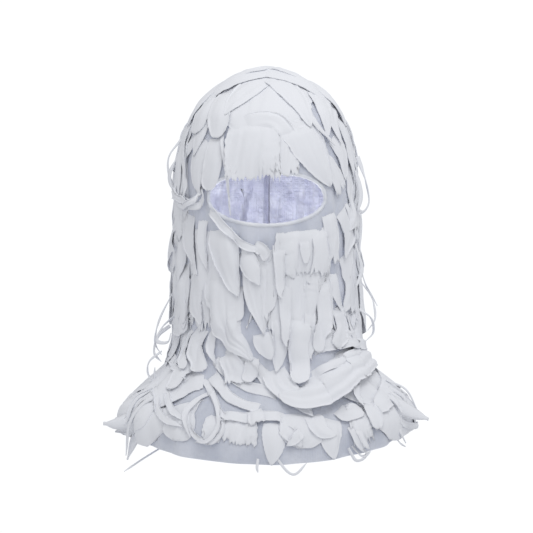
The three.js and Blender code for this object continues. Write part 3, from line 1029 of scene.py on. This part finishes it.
@dataclass
class LeafCourse:
    """One row of leaves sewn round the sides or the back, drawn from a seeded pattern book."""

    form: WornForm
    name: str
    node: str
    first: float
    last: float
    top: float
    long: float
    count: int
    seed: int
    held: str = "hung"
    hang: float = 0.55

    def swatches(self) -> list[Swatch]:
        """Chooses the leaves of the row.

        Returns:
            Its leaves, ragged pieces and strips, in the order that they are sewn.
        """
        pick = random.Random(self.seed)
        pitch = (self.last - self.first) / self.count
        reach = float(self.form.reach(0, np.array(max(self.top - self.long / 2, 0.0))))
        wide = math.radians(abs(pitch)) * reach
        chosen = []
        for number in range(self.count * 2 + 1):
            where = self.first + pitch * (number + 0.5) / 2 + pitch * pick.uniform(-0.15, 0.15)
            where = max(min(where, self.last - abs(pitch) * 0.25), self.first + abs(pitch) * 0.25)
            under = number % 2
            cut = pick.choices([Cut.LEAF, Cut.LOBE, Cut.STRIP, Cut.RAG], [7, 2, 1 + under, 1])[0]
            narrow = 0.3 if cut is Cut.STRIP else pick.uniform(1.1, 1.6)
            long = self.long * pick.uniform(0.9, 1.2) * (1.1 if cut is Cut.STRIP else 1.0)
            long = min(long, self.top + 4)
            lean = pick.uniform(-7, 7)
            top = self.top - pick.uniform(0, 5)
            start = float(self.form.reach(2, np.array(top)))
            route = []
            for share in (0, 0.35, 0.7, 1):
                low = top - long * share
                gap = start - float(self.form.reach(2, np.array(max(low, 0.0))))
                back = 101 <= where <= 259
                off = self.hang * max(gap, 0) if back and 110 < low < 300 else 0
                bend = lean * share**1.5 + 2.5 * math.sin(3 * share + number)
                route.append((where + bend, low, min(off, 9)))
            width = max(wide * narrow, 6 if cut is Cut.STRIP else 14)
            chosen.append(Swatch(route, width, cut, turned=True, curl=pick.uniform(0.2, 1.0),
                                 lift=pick.uniform(0.3, 1.8), ruffle=pick.uniform(0.2, 0.7),
                                 crease=pick.uniform(0.2, 1.6), tuck=pick.choice((-1, 1, 0)),
                                 seed=pick.randrange(1000)))
        pick.shuffle(chosen)
        return chosen

    def build(self) -> bpy.types.Object:
        draper = Draper(self.form)
        piece = Piece(self.name)
        for swatch in self.swatches():
            piece.add(draper.spread(swatch))
        thing = piece.build()
        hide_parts(self.node)
        return thing


@dataclass
class SewnCloth:
    """A listed group of leaves, straps or drapes that stay put on the hood."""

    form: WornForm
    name: str
    swatches: Sequence[Swatch]
    nodes: Sequence[str] = ()
    held: str = "draped"
    strands: str = ""

    def build(self) -> bpy.types.Object:
        draper = Draper(self.form)
        piece = Piece(self.name)
        for swatch in self.swatches:
            piece.add(draper.spread(swatch))
        thing = piece.build()
        if self.nodes:
            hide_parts(*self.nodes)
        return thing


@dataclass
class FaceFlap:
    """A leaf on the face that hangs from its sewn end."""

    BEND: ClassVar[int] = 4
    form: WornForm
    node: str
    swatch: Swatch

    def build(self) -> bpy.types.Object:
        """Lays the leaf as one piece on no body."""
        piece = Piece(f"{self.node}_cloth", body="")
        laid = Draper(self.form).spread(self.swatch)
        piece.add(laid)
        thing = piece.build()
        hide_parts(self.node)
        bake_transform(thing)
        return thing


@dataclass(frozen=True)
class Strand:
    """A narrow cut strip that hangs free in a loop or a tail, through places in the air."""

    route: Route
    width: float = 2.6
    twist: float = 2.0
    seed: int = 1


@dataclass
class LooseStrands:
    """Loops and tails of narrow strip, which were cut free of the leaves and fray."""

    form: WornForm
    name: str
    strands: Sequence[Strand]

    def ribbon(self, strand: Strand) -> Grid:
        """Sweeps one strand.

        Args:
            strand: The strand, in millimetres: x, depth and height of each place.

        Returns:
            The strip.
        """
        knots = np.array([(x * MM, y * MM, self.form.base + z * MM) for x, y, z in strand.route])
        path = curve_through(knots, 14)
        ahead = unit(np.gradient(path, axis=0))
        run = np.concatenate([[0], np.cumsum(np.linalg.norm(np.diff(path, axis=0), axis=1))])
        side = unit(np.cross(ahead, unit(path * np.array([1, 1, 0]))))
        front = np.cross(side, ahead)
        turn = strand.twist * np.array([wander(strand.seed, r * 30) for r in run])
        facing = side * np.cos(turn)[:, None] + front * np.sin(turn)[:, None]
        bulge = np.cross(ahead, facing)
        share = run / run[-1]
        taper = 3 if strand.width > 9 else 8
        half = strand.width / 2 * MM * np.clip(1 - share**taper, 0.15, 1)
        half = half * (1 + 0.25 * np.array([wander(strand.seed + 4, r * 45) for r in run]))
        across = np.linspace(-1, 1, 5)
        points = path[:, None] + facing[:, None] * (across[None, :, None] * half[:, None, None])
        points = points + bulge[:, None] * (0.35 * (across**2)[None, :, None] * half[:, None, None])
        flat = np.stack(np.meshgrid(run, across * strand.width / 2 * MM, indexing="ij"), axis=-1)
        # Strands are lightened all over by 0.6 of the painted rim highlight.
        edge = np.ones(points.shape[:2]) * 0.6
        return Grid(points, flat, edge)

    def build(self) -> bpy.types.Object:
        """Makes the strands as one object."""
        piece = Piece(self.name)
        for strand in self.strands:
            piece.add(self.ribbon(strand), cloth=0.7)
        thing = piece.build()
        return thing


# ---------------------------------------------------------------------------------------------
# Where everything is sewn
# ---------------------------------------------------------------------------------------------


def flaps(form: WornForm) -> dict[str, FaceFlap]:
    """Gives the leaves on the face that lift, each at its place."""
    leaf, lobe, strip, rag = Cut.LEAF, Cut.LOBE, Cut.STRIP, Cut.RAG
    sewn = {
        "throat_leaf": Swatch([(-4, 125), (-1, 112), (5, 97)], 24, leaf, curl=1.4, seed=3),
        "neck_strip_front": Swatch([(33, 140, 1), (31, 105, 1), (33, 70, 3)], 24, lobe, curl=1.4, lift=1,
                                   crease=2.0, root=0.9, seed=5),
        "neck_strip_side": Swatch([(54, 178), (54, 145), (51, 104)], 20, lobe, curl=0.9, lift=2, seed=8),
        "jaw_leaf_right": Swatch([(-44, 186), (-43, 150), (-34, 122), (-13, 97)], 44, leaf, curl=2.1,
                                 lift=2, ruffle=0.6, crease=3.0, root=0.8, tuck=1, seed=11),
        "jaw_strip_left": Swatch([(17, 178), (18, 145), (18, 110)], 15, strip, curl=1.3, seed=4),
        "chin_leaf": Swatch([(-10, 217), (-11, 176), (-2, 122)], 34, leaf, curl=1.3, lift=1, crease=3.0,
                            root=0.9, tuck=1, seed=21),
        "chin_patch": Swatch([(33, 229), (34, 207), (37, 180)], 50, rag, curl=0.5, lift=0.5, crease=2.2,
                             ruffle=0.8, root=0.8, seed=9),
        "cheek_leaf_right": Swatch([(-47, 232), (-41, 204), (-35, 184), (-27, 160)], 36, leaf, curl=2.1,
                                   lift=3, crease=1.2, root=0.7, seed=15),
        "temple_leaf_right": Swatch([(-53, 352), (-64, 326), (-70, 300)], 26, leaf, curl=1.7, lift=2,
                                    seed=17),
        "temple_leaf_left": Swatch([(28, 333), (43, 308), (62, 270)], 42, leaf, curl=1.7, lift=2,
                                   root=0.9, crease=0.6, seed=19),
        "brow_flap": Swatch([(-14, 334), (-14, 308), (-14, 274)], 54, rag, curl=0.5, lift=0.8, crease=2.0,
                            ruffle=0.5, root=0.9, seed=23),
        "forehead_leaf_right": Swatch([(-2, 379), (-20, 364), (-40, 340)], 34, leaf, curl=1.2, lift=0.5,
                                      root=0.6, seed=25),
        "forehead_leaf_left": Swatch([(4, 379), (21, 365), (42, 328)], 34, leaf, curl=1.2, lift=0.5,
                                     root=0.6, seed=27),
    }
    return {node: FaceFlap(form, node, swatch) for node, swatch in sewn.items()}


def cape_front(form: WornForm) -> list[SewnCloth]:
    """Lists the cloth that lies on the front of the cape."""
    leaf, lobe, strip, rag, patch = Cut.LEAF, Cut.LOBE, Cut.STRIP, Cut.RAG, Cut.PATCH
    hem = [
        Swatch([(8, 36), (8, 16), (5, -9)], 28, leaf, curl=0.7, lift=1.5, seed=32),
        Swatch([(62, 40), (64, 18), (67, -3)], 30, leaf, curl=0.8, lift=2, seed=34),
        Swatch([(-34, 42), (-36, 26), (-38, 10)], 54, rag, curl=0.8, lift=0.6, crease=2.5, seed=35),
        Swatch([(-84, 46), (-88, 30), (-92, 16)], 34, lobe, curl=1.0, lift=1, crease=2, seed=36),
        Swatch([(34, 44), (34, 26), (32, 8)], 44, lobe, curl=0.8, lift=0.8, crease=2.5, seed=33),
        Swatch([(90, 50), (94, 30), (99, 9)], 24, rag, curl=0.8, lift=2, seed=37),
        Swatch([(15, 27), (25, 19), (36, 10)], 16, leaf, curl=1.2, lift=2, seed=38),
        Swatch([(36, 26), (27, 17), (18, 10)], 13, leaf, curl=1.4, lift=2, seed=42),
        Swatch([(84, 30), (90, 16), (97, 5)], 7, strip, curl=1.6, lift=4, seed=39),
        Swatch([(90, 28), (95, 15), (101, 8)], 6, strip, curl=1.6, lift=4, seed=43),
        Swatch([(70, 48), (80, 42), (93, 46)], 20, lobe, curl=1.6, lift=3, seed=40),
        Swatch([(44, 42), (54, 26), (68, 20)], 22, leaf, curl=1.4, lift=2, seed=41),
    ]
    straps = [
        Swatch([(-90, 112), (-90, 92), (-77, 73)], 12, leaf, curl=1.5, lift=5, seed=51),
        Swatch([(-108, 70), (-104, 40), (-82, 28)], 8, strip, curl=2.0, lift=3, seed=52),
        Swatch([(-97, 72), (-94, 46), (-76, 32)], 9, strip, curl=2.0, lift=3, seed=53),
        Swatch([(-60, 62), (-77, 46), (-74, 24), (-56, 14), (-43, 26), (-46, 44)], 6.5, strip, curl=2.2,
               lift=2, seed=54),
        Swatch([(-50, 66), (-68, 56), (-80, 38), (-74, 18)], 7, strip, curl=2.0, lift=2, seed=55),
        Swatch([(-62, 78), (-52, 58), (-44, 40), (-30, 34)], 8, strip, curl=2.2, lift=2, seed=56),
        Swatch([(-56, 70), (-50, 50), (-48, 30), (-58, 16), (-70, 14)], 6, strip, curl=2.0, lift=3,
               seed=57),
        Swatch([(-112, 62), (-134, 48), (-157, 38)], 24, leaf, curl=0.8, lift=4, seed=58),
        Swatch([(-108, 56), (-128, 34), (-136, 6)], 22, leaf, curl=1.0, lift=4, seed=59),
        Swatch([(-99, 70), (-124, 57), (-137, 34), (-137, 8)], 8, strip, curl=2.2, lift=5, seed=60),
        Swatch([(-72, 100), (-82, 82), (-94, 62)], 20, lobe, curl=1.0, lift=4, seed=61),
        Swatch([(-62, 132), (-68, 108), (-64, 84)], 22, lobe, curl=1.4, lift=4, seed=62),
        Swatch([(-74, 130), (-80, 108), (-78, 84)], 12, lobe, curl=1.6, lift=5, seed=63),
        Swatch([(-52, 128), (-55, 108), (-50, 92)], 12, leaf, curl=1.4, lift=3, seed=64),
    ]
    middle = [
        Swatch([(-50, 98), (-24, 72), (16, 60)], 13, patch, curl=0.8, lift=0, crease=3.0, belly=0.3,
               seed=70),
        Swatch([(-42, 112), (-14, 94), (6, 68)], 12, patch, curl=0.8, lift=0, crease=3.0, belly=0.3,
               seed=69),
        Swatch([(-56, 84), (-36, 58), (-4, 47)], 12, patch, curl=0.8, lift=0, crease=3.0, belly=0.3,
               seed=68),
        Swatch([(-46, 40), (-15, 38), (20, 38)], 13, patch, curl=1.6, lift=1, seed=71),
        Swatch([(-13, 46), (-10, 39), (-9, 30)], 16, rag, curl=0.6, lift=2, seed=72),
        Swatch([(-40, 104), (-32, 86), (-30, 70)], 22, rag, curl=0.8, lift=2, seed=73),
        Swatch([(-14, 100), (-16, 86), (-20, 72)], 20, lobe, curl=0.9, lift=2, seed=74),
    ]
    drape = [
        Swatch([(6, 90), (14, 70, 2), (30, 56, 3), (46, 38, 1)], 30, leaf, curl=1.4, lift=0.5, crease=2.5,
               seed=80),
        Swatch([(108, 140), (104, 112, 3), (74, 82, 9), (42, 58, 7), (12, 60, 1)], 42, lobe, curl=1.9,
               lift=0, crease=3.0, belly=0.13, ruffle=0.1, root=0.7, tuck=-1, seed=81),
        Swatch([(96, 116), (76, 98, 3), (44, 80, 2)], 9, patch, curl=1.0, lift=1, crease=2.0, seed=90),
        Swatch([(40, 112), (70, 120, 3), (104, 118, 3)], 26, patch, curl=1.0, lift=0, crease=4.0, tuck=1,
               seed=82),
        Swatch([(88, 92), (86, 68), (96, 46)], 10, strip, curl=1.8, lift=5, seed=83),
        Swatch([(112, 96), (118, 68), (108, 42)], 22, lobe, curl=1.2, lift=4, seed=84),
        Swatch([(108, 70), (133, 52), (157, 42)], 26, leaf, curl=0.9, lift=4, seed=85),
        Swatch([(126, 52), (131, 34), (137, 18)], 8, strip, curl=1.6, lift=4, seed=86),
        Swatch([(112, 62), (124, 50), (128, 40)], 16, leaf, curl=1.2, lift=5, seed=87),
        Swatch([(98, 52), (106, 38), (108, 26)], 16, lobe, curl=1.6, lift=4, seed=88),
    ]
    return [
        SewnCloth(form, "hem_leaves_front", hem, ["cape_lower_course_front"], held="hung",
                  strands="hem_strands"),
        SewnCloth(form, "cape_straps_right", straps, strands="loose_strands_right"),
        SewnCloth(form, "cape_band_front", middle, ["cape_upper_course_front"]),
        SewnCloth(form, "shoulder_drape", drape, strands="loose_strands_left"),
    ]


def face_cloth(form: WornForm) -> dict[str, SewnCloth]:
    """Lists the cloth that stays put on the face and neck, by the level that it lies at."""
    leaf, lobe, strip, rag, patch = Cut.LEAF, Cut.LOBE, Cut.STRIP, Cut.RAG, Cut.PATCH
    neck = [
        Swatch([(26, 214), (27, 170), (24, 122)], 84, rag, curl=0.38, lift=0.4, crease=4.0, belly=0.02,
               seed=98),
        Swatch([(-58, 232), (-62, 180), (-58, 124)], 66, rag, curl=0.38, lift=0.4, crease=4.0, belly=0.02,
               seed=99),
        Swatch([(-80, 170), (-86, 150), (-76, 128)], 35, lobe, curl=0.75, lift=3, seed=101),
        Swatch([(-86, 208), (-90, 186), (-82, 162)], 30, leaf, curl=0.98, lift=4, seed=102),
        Swatch([(-68, 182), (-70, 158), (-62, 132)], 27, leaf, curl=0.98, lift=4, seed=103),
        Swatch([(-30, 172), (-27, 150), (-30, 128)], 16, strip, curl=0.68, lift=2, seed=104),
        Swatch([(78, 208), (82, 176), (76, 144)], 32, leaf, curl=0.9, lift=4, seed=105),
        Swatch([(66, 186), (69, 160), (78, 140)], 12, leaf, curl=1.12, lift=4, seed=106),
        Swatch([(61, 182), (63, 146), (69, 110)], 7, strip, curl=1.5, lift=3, seed=107),
        Swatch([(70, 150), (72, 130), (66, 108)], 24, lobe, curl=0.75, lift=3, seed=108),
        Swatch([(2, 200), (4, 165), (2, 136)], 16, strip, curl=0.9, lift=2, seed=109),
        Swatch([(44, 150), (42, 124), (45, 96)], 12, strip, curl=1.12, lift=3, seed=110),
        Swatch([(12, 142), (14, 118), (10, 84)], 22, leaf, curl=0.9, lift=2, seed=111),
        Swatch([(84, 150), (92, 132), (94, 112)], 27, lobe, curl=0.9, lift=4, seed=112),
    ]
    cheek = [
        Swatch([(-80, 250), (-93, 228), (-86, 204)], 27, leaf, curl=0.98, lift=4, seed=121),
        Swatch([(-74, 246), (-74, 214), (-66, 182)], 24, leaf, curl=1.2, lift=4, seed=122),
        Swatch([(-62, 240), (-62, 210), (-55, 184)], 13, strip, curl=1.2, lift=3, seed=123),
        Swatch([(-23, 206), (-16, 190), (-8, 172)], 22, leaf, curl=0.9, lift=3, seed=124),
        Swatch([(74, 250), (80, 225), (76, 198)], 27, leaf, curl=1.05, lift=4, seed=125),
        Swatch([(62, 246), (66, 222), (62, 190)], 22, rag, curl=0.68, lift=2, seed=126),
        Swatch([(79, 256), (82, 240), (86, 218)], 7, strip, curl=1.5, lift=4, seed=127),
        Swatch([(12, 212), (13, 186), (15, 158)], 13, strip, curl=1.05, lift=2, seed=128),
        Swatch([(37, 219), (38, 206), (39, 193)], 11, leaf, curl=1.05, lift=3, seed=129),
        Swatch([(52, 228), (54, 205), (52, 180)], 24, rag, curl=0.68, lift=2, seed=130),
    ]
    straps = [
        Swatch([(-59, 250), (-50, 240), (-40, 228), (-24, 214), (-13, 209), (1, 212)], 11, strip,
               curl=2.3, lift=1, seed=141),
        Swatch([(-12, 211), (-3, 207), (-2, 196)], 15, leaf, curl=1.6, lift=3, seed=142),
        Swatch([(-93, 280, 2), (-86, 266, 2), (-76, 256, 2), (-62, 254, 2)], 11, strip, curl=2.3, lift=1,
               seed=143),
        Swatch([(-80, 262, 3), (-70, 250, 4), (-60, 256, 3), (-62, 268, 2)], 9, strip, curl=2.4, lift=1,
               seed=144),
        Swatch([(-64, 270, 1), (-66, 258, 4), (-74, 250, 4), (-84, 252, 2)], 7, strip, curl=2.2, lift=1,
               seed=145),
    ]
    brow = [
        Swatch([(0, 430), (0, 385), (0, 302)], 100, lobe, turned=True, curl=0.3, lift=0.3, crease=2.0,
               belly=0.02, ruffle=0.3, seed=149),
        Swatch([(-56, 318), (-68, 290), (-64, 262)], 28, leaf, curl=0.96, lift=4, seed=151),
        Swatch([(-74, 322), (-84, 294), (-84, 264)], 22, leaf, curl=0.96, lift=4, seed=152),
        Swatch([(-50, 322), (-53, 292), (-58, 266)], 21, lobe, curl=0.64, lift=2, seed=153),
        Swatch([(-44, 328, 1), (-38, 280, 2), (-34, 241, 4)], 3.6, strip, curl=1.28, lift=1, seed=154),
        Swatch([(14, 330), (16, 308), (18, 278)], 30, rag, curl=0.56, lift=2, crease=2.0, seed=155),
        Swatch([(-24, 332), (-4, 337), (12, 333), (22, 318)], 17, patch, curl=1.2, lift=1, crease=3.0,
               seed=156),
        Swatch([(0, 318), (3, 306), (-3, 290)], 9, strip, curl=1.76, lift=2, seed=157),
        Swatch([(64, 322), (74, 302), (76, 276)], 25, leaf, curl=0.96, lift=4, seed=158),
        Swatch([(58, 300), (68, 280), (72, 262)], 18, rag, curl=0.96, lift=3, seed=159),
        Swatch([(24, 330), (44, 330), (58, 312)], 9, strip, curl=1.6, lift=2, seed=160),
        Swatch([(-64, 330), (-78, 304), (-88, 280)], 12, strip, curl=1.28, lift=3, seed=161),
    ]
    dome = [
        Swatch([(50, 366), (64, 342), (71, 312)], 30, leaf, curl=0.8, lift=3, seed=171),
        Swatch([(40, 372), (54, 350), (60, 318)], 26, leaf, curl=0.8, lift=1, seed=177),
        Swatch([(26, 370), (38, 350), (48, 330), (66, 311)], 8, strip, curl=1.52, lift=2, seed=172),
        Swatch([(58, 366), (76, 336), (88, 300)], 8, strip, curl=1.2, lift=3, seed=173),
        Swatch([(64, 362), (82, 334), (93, 290)], 8, strip, curl=1.2, lift=3, seed=174),
        Swatch([(-50, 364), (-62, 344), (-68, 322)], 30, lobe, curl=0.64, lift=2, seed=175),
        Swatch([(-36, 366), (-45, 346), (-47, 318)], 25, lobe, curl=0.48, lift=2, seed=176),
    ]
    return {
        "neck": SewnCloth(form, "neck_leaves", neck),
        "cheek": SewnCloth(form, "cheek_leaves", cheek),
        "straps": SewnCloth(form, "rolled_straps", straps),
        "brow": SewnCloth(form, "brow_leaves", brow),
        "dome": SewnCloth(form, "dome_leaves", dome),
    }


def crown_band(form: WornForm) -> SewnCloth:
    """Gives the soft band over the top of the head with its rolled front edge, and the leaves round it."""
    # Leaves that close the places between the band and the rows: a route, a width and a seed.
    fill = (
        ([(183, 428), (181, 396), (178, 352)], 46, 204),
        ([(-52, 412), (-60, 380), (-66, 336)], 44, 205),
        ([(52, 412), (60, 380), (66, 336)], 44, 206),
        ([(266, 388), (265, 352), (263, 318)], 40, 210),
        ([(94, 388), (95, 352), (97, 318)], 40, 211),
        ([(286, 390), (287, 352), (289, 314)], 44, 208),
        ([(74, 390), (73, 352), (71, 314)], 44, 209),
    )
    over = [(92, 372), (92, 405), (92, 432), (268, 432), (268, 405), (268, 372)]
    front = [(-70, 344), (-54, 372), (-28, 394), (0, 406), (28, 394), (54, 372), (70, 344)]
    band = {"cut": Cut.PATCH, "turned": True, "lift": 0}
    return SewnCloth(form, "crown_band", [
        *(Swatch(route, width, turned=True, curl=0.5, lift=0.5, seed=seed) for route, width, seed in fill),
        Swatch(over, 80, curl=0.15, crease=1.5, belly=0.01, ruffle=0.2, seed=203, **band),
        Swatch(front, 34, curl=0.35, crease=2.0, belly=0.06, ruffle=0.3, tuck=1, seed=201, **band),
        Swatch([(-46, 386), (-20, 402), (4, 412), (30, 404)], 15, curl=0.4, crease=2.0, seed=202, **band),
        Swatch([(52, 376), (34, 392), (8, 410)], 12, curl=0.4, crease=2.0, seed=207, **band),
    ], ["crown_cowl"])


def strands(form: WornForm) -> list[LooseStrands]:
    """Lists the loose loops and tails, in groups."""
    right = [
        Strand([(-84, -30, 304), (-94, -34, 289), (-95, -32, 272), (-80, -44, 254)], 3.9, seed=1),
        Strand([(-84, -20, 318), (-97, -20, 300), (-96, -24, 280), (-86, -30, 262)], 2.6, seed=2),
        Strand([(-94, -10, 164), (-107, -14, 138), (-111, -20, 116), (-104, -30, 104)], 3.1, seed=3),
        Strand([(-92, -20, 142), (-103, -24, 132), (-109, -26, 118), (-98, -36, 117), (-94, -40, 126)],
               3.9, seed=4),
        Strand([(-96, -16, 132), (-108, -18, 122), (-112, -22, 106), (-104, -30, 97)], 3.4, seed=5),
        Strand([(-104, -30, 108), (-116, -30, 98), (-118, -30, 86), (-112, -34, 78), (-110, -38, 92)],
               3.9, seed=6),
        Strand([(-100, -62, 17), (-120, -64, 5), (-139, -66, -8)], 2.1, 0.8, seed=7),
        Strand([(-106, -66, 58), (-130, -62, 44), (-148, -58, 38), (-160, -54, 38)], 20, 0.5, seed=9),
        Strand([(-112, -72, 52), (-128, -70, 30), (-136, -68, 4)], 17, 0.6, seed=10),
        Strand([(-96, -78, 72), (-120, -74, 60), (-134, -72, 40), (-137, -70, 8)], 6, 1.2, seed=28),
        Strand([(-112, -40, 62), (-134, -44, 48), (-146, -40, 40)], 3.9, seed=8),
    ]
    left = [
        Strand([(90, -24, 300), (98, -24, 278), (102, -22, 256), (96, -26, 245), (88, -34, 250)], 4.4,
               seed=11),
        Strand([(88, -40, 286), (93, -40, 262), (90, -42, 246)], 3.9, seed=12),
        Strand([(94, -18, 244), (93, -20, 204), (97, -20, 178), (110, -20, 152)], 3.1, seed=13),
        Strand([(94, -20, 176), (105, -22, 160), (108, -24, 140), (100, -32, 128)], 3.1, seed=14),
        Strand([(88, -40, 214), (94, -38, 190), (88, -42, 170)], 3.9, seed=15),
        Strand([(92, -40, 150), (104, -34, 140), (106, -30, 126), (98, -36, 118)], 3.9, seed=16),
        Strand([(108, -66, 66), (134, -60, 54), (159, -52, 42)], 20, 0.5, seed=20),
        Strand([(116, -72, 50), (128, -70, 38), (136, -66, 20)], 10, 0.9, seed=29),
        Strand([(118, -40, 80), (138, -36, 70), (150, -30, 48)], 2.6, 1, seed=17),
        Strand([(120, -50, 74), (136, -50, 62), (132, -54, 48), (120, -60, 50)], 3.9, seed=18),
        Strand([(124, -46, 60), (140, -44, 52), (150, -40, 42)], 3.9, seed=19),
    ]
    hem = [
        Strand([(10, -138, 12), (20, -140, 0), (28, -140, -2), (38, -138, 8)], 2.1, 0.8, seed=21),
        Strand([(-8, -138, 12), (-9, -140, 4), (-8, -140, -1)], 2.3, seed=22),
        Strand([(82, -112, 22), (92, -112, 12), (100, -108, 16)], 3.1, seed=23),
        Strand([(78, -116, 20), (86, -116, 8), (96, -110, 12), (92, -112, 22)], 3.1, seed=24),
        Strand([(124, -66, 34), (129, -66, 22), (136, -62, 16)], 3.1, seed=25),
    ]
    return [
        LooseStrands(form, "loose_strands_right", right),
        LooseStrands(form, "loose_strands_left", left),
        LooseStrands(form, "hem_strands", hem),
    ]


@dataclass
class LeafCover:
    """All of the cloth on the hood, laid from the hem upward, each layer over the one below.

    A span is a name, then the degrees round the head where its rows start and end, then how many
    leaves a row has, or the seed of its first row.
    """

    form: WornForm
    cape_spans: Sequence[tuple[str, float, float, int]] = (
        ("left", 44, 112, 2), ("back", 114, 246, 5), ("right", 248, 316, 2),
    )
    side_spans: Sequence[tuple[str, float, float, int]] = (("left", 63, 101, 80), ("right", 259, 297, 90))
    back_span: tuple[float, float] = (101, 259)
    side_rows: int = 5
    back_rows: int = 6

    def cape(self, level: str, top: float, long: float, seed: int) -> list[LeafCourse]:
        """Plans one level of leaves round the sides and the back of the cape."""
        return [
            LeafCourse(self.form, f"cape_{level}_leaves_{side}", f"cape_{level}_course_{side}", first, last,
                       top, long, count, seed + len(side), held="draped")
            for side, first, last, count in self.cape_spans
        ]

    def sides(self, number: int) -> list[LeafCourse]:
        """Plans one row of leaves on both sides of the head. Rows are numbered from the top."""
        tops = np.linspace(self.form.cloth_height(342), 154, self.side_rows)
        return [
            LeafCourse(self.form, f"side_leaves_{side}_{number}", f"side_course_{side}_{number}", first,
                       last, float(tops[number - 1]), 62, 3, seed + number)
            for side, first, last, seed in self.side_spans
        ]

    def back(self) -> list[LeafCourse]:
        """Plans the rows over the back of the head, lowest first. Rows are numbered from the top."""
        sizes = self.form.sizes
        tops = np.linspace(sizes.brow + self.form.arc - 20, 152, self.back_rows)
        return [
            LeafCourse(self.form, f"back_leaves_{number}", f"back_course_{number}", *self.back_span,
                       float(tops[number - 1]), 70, 4 + min(number, 3), 30 + number)
            for number in range(self.back_rows, 0, -1)
        ]

    def build(self) -> list[bpy.types.Object]:
        """Lays everything in sewing order.

        Returns:
            The objects.
        """
        hem, *cape = cape_front(self.form)
        still = face_cloth(self.form)
        flap = flaps(self.form)
        order = [
            *strands(self.form),
            *self.cape("lower", 54, 43, 61), hem, *self.cape("upper", 94, 49, 71), *cape,
            *self.sides(5),
            still["neck"], flap["throat_leaf"], flap["neck_strip_front"], flap["neck_strip_side"],
            flap["jaw_leaf_right"], *self.sides(4), *self.sides(3),
            flap["jaw_strip_left"], flap["chin_leaf"], flap["chin_patch"],
            still["cheek"], flap["cheek_leaf_right"], *self.sides(2),
            still["brow"], flap["temple_leaf_right"], flap["temple_leaf_left"], flap["brow_flap"],
            still["straps"], *self.sides(1),
            still["dome"], flap["forehead_leaf_right"], flap["forehead_leaf_left"],
            *self.back(), crown_band(self.form),
        ]
        return [group.build() for group in order]


@dataclass
class Studio:
    """Plain pale floor, soft overhead light, and the camera in front at eye height."""

    form: WornForm
    distance: float = 2.5
    field: float = 0.533

    def build(self) -> None:
        """Makes the floor, the lights, the sky and the camera."""
        base = self.form.base
        scene = bpy.context.scene
        mesh = bpy.data.meshes.new("floor")
        turns = np.linspace(0, 2 * math.pi, 64)[:-1]
        ring = [(2.6 * math.cos(t), 2.6 * math.sin(t), base - 0.45) for t in turns]
        mesh.from_pydata(ring, [], [tuple(range(len(ring)))])
        floor = bpy.data.objects.new("floor", mesh)
        scene.collection.objects.link(floor)
        pale = bpy.data.materials.new("pale_floor")
        pale.use_nodes = True
        shader = pale.node_tree.nodes["Principled BSDF"]
        shader.inputs["Base Color"].default_value = linear("#F4F5F7")
        shader.inputs["Roughness"].default_value = 0.9
        floor.data.materials.append(pale)
        world = scene.world or bpy.data.worlds.new("studio")
        scene.world = world
        world.use_nodes = True
        sky = world.node_tree.nodes["Background"]
        sky.inputs[0].default_value = (0.97, 0.98, 1.0, 1)
        # The backdrop reads as pure white, while the light it throws on the cloth is softer.
        seen = world.node_tree.nodes.new("ShaderNodeLightPath").outputs["Is Camera Ray"]
        level = add_node(world.node_tree, "ShaderNodeMapRange", in0=seen, in3=0.63, in4=1.05)
        world.node_tree.links.new(level.outputs[0], sky.inputs[1])
        self.light("overhead", (0.3, -0.85, 1.05), 0.8, 6.2, (0, 0, base + 0.2))
        self.light("inner_fill", (0, -0.01, base + 0.1), 0.1, 0.33, (0, 0.1, base + 0.27))
        camera = bpy.data.objects.new("camera", bpy.data.cameras.new("camera"))
        camera.location = (0, -self.distance, base + 0.258)
        aim = Vector((0, 0, base + 0.1905)) - camera.location
        camera.rotation_euler = aim.to_track_quat("-Z", "Y").to_euler()
        camera.data.sensor_width = 36
        camera.data.lens = 36 * self.distance / self.field
        scene.collection.objects.link(camera)
        scene.camera = camera
        scene.view_settings.view_transform = "Standard"

    def light(self, name: str, place: Place, size: float, power: float, at: Place) -> None:
        """Hangs one soft square light, aimed at a place."""
        lamp = bpy.data.lights.new(name, "AREA")
        lamp.shape, lamp.size, lamp.energy = "SQUARE", size, power
        thing = bpy.data.objects.new(name, lamp)
        thing.location = place
        aim = Vector(at) - Vector(place)
        thing.rotation_euler = aim.to_track_quat("-Z", "Y").to_euler()
        bpy.context.scene.collection.objects.link(thing)


def main() -> None:
    """Builds the studio, the finishes and the knit hood, then all the cloth that lies on it."""
    form = WornForm(HoodSizes())
    Studio(form).build()
    for finish in FINISHES:
        finish.build()
    hood = KnitHood(form)
    inner = [hood.build(), *hood.seams(), hood.binding()]
    laid = LeafCover(form).build()
    LOG.info("%d pieces of the hood itself, %d pieces of cloth on it", len(inner), len(laid))


if __name__ == "__main__":
    logging.basicConfig(level=logging.INFO, format="%(message)s")
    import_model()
    main()
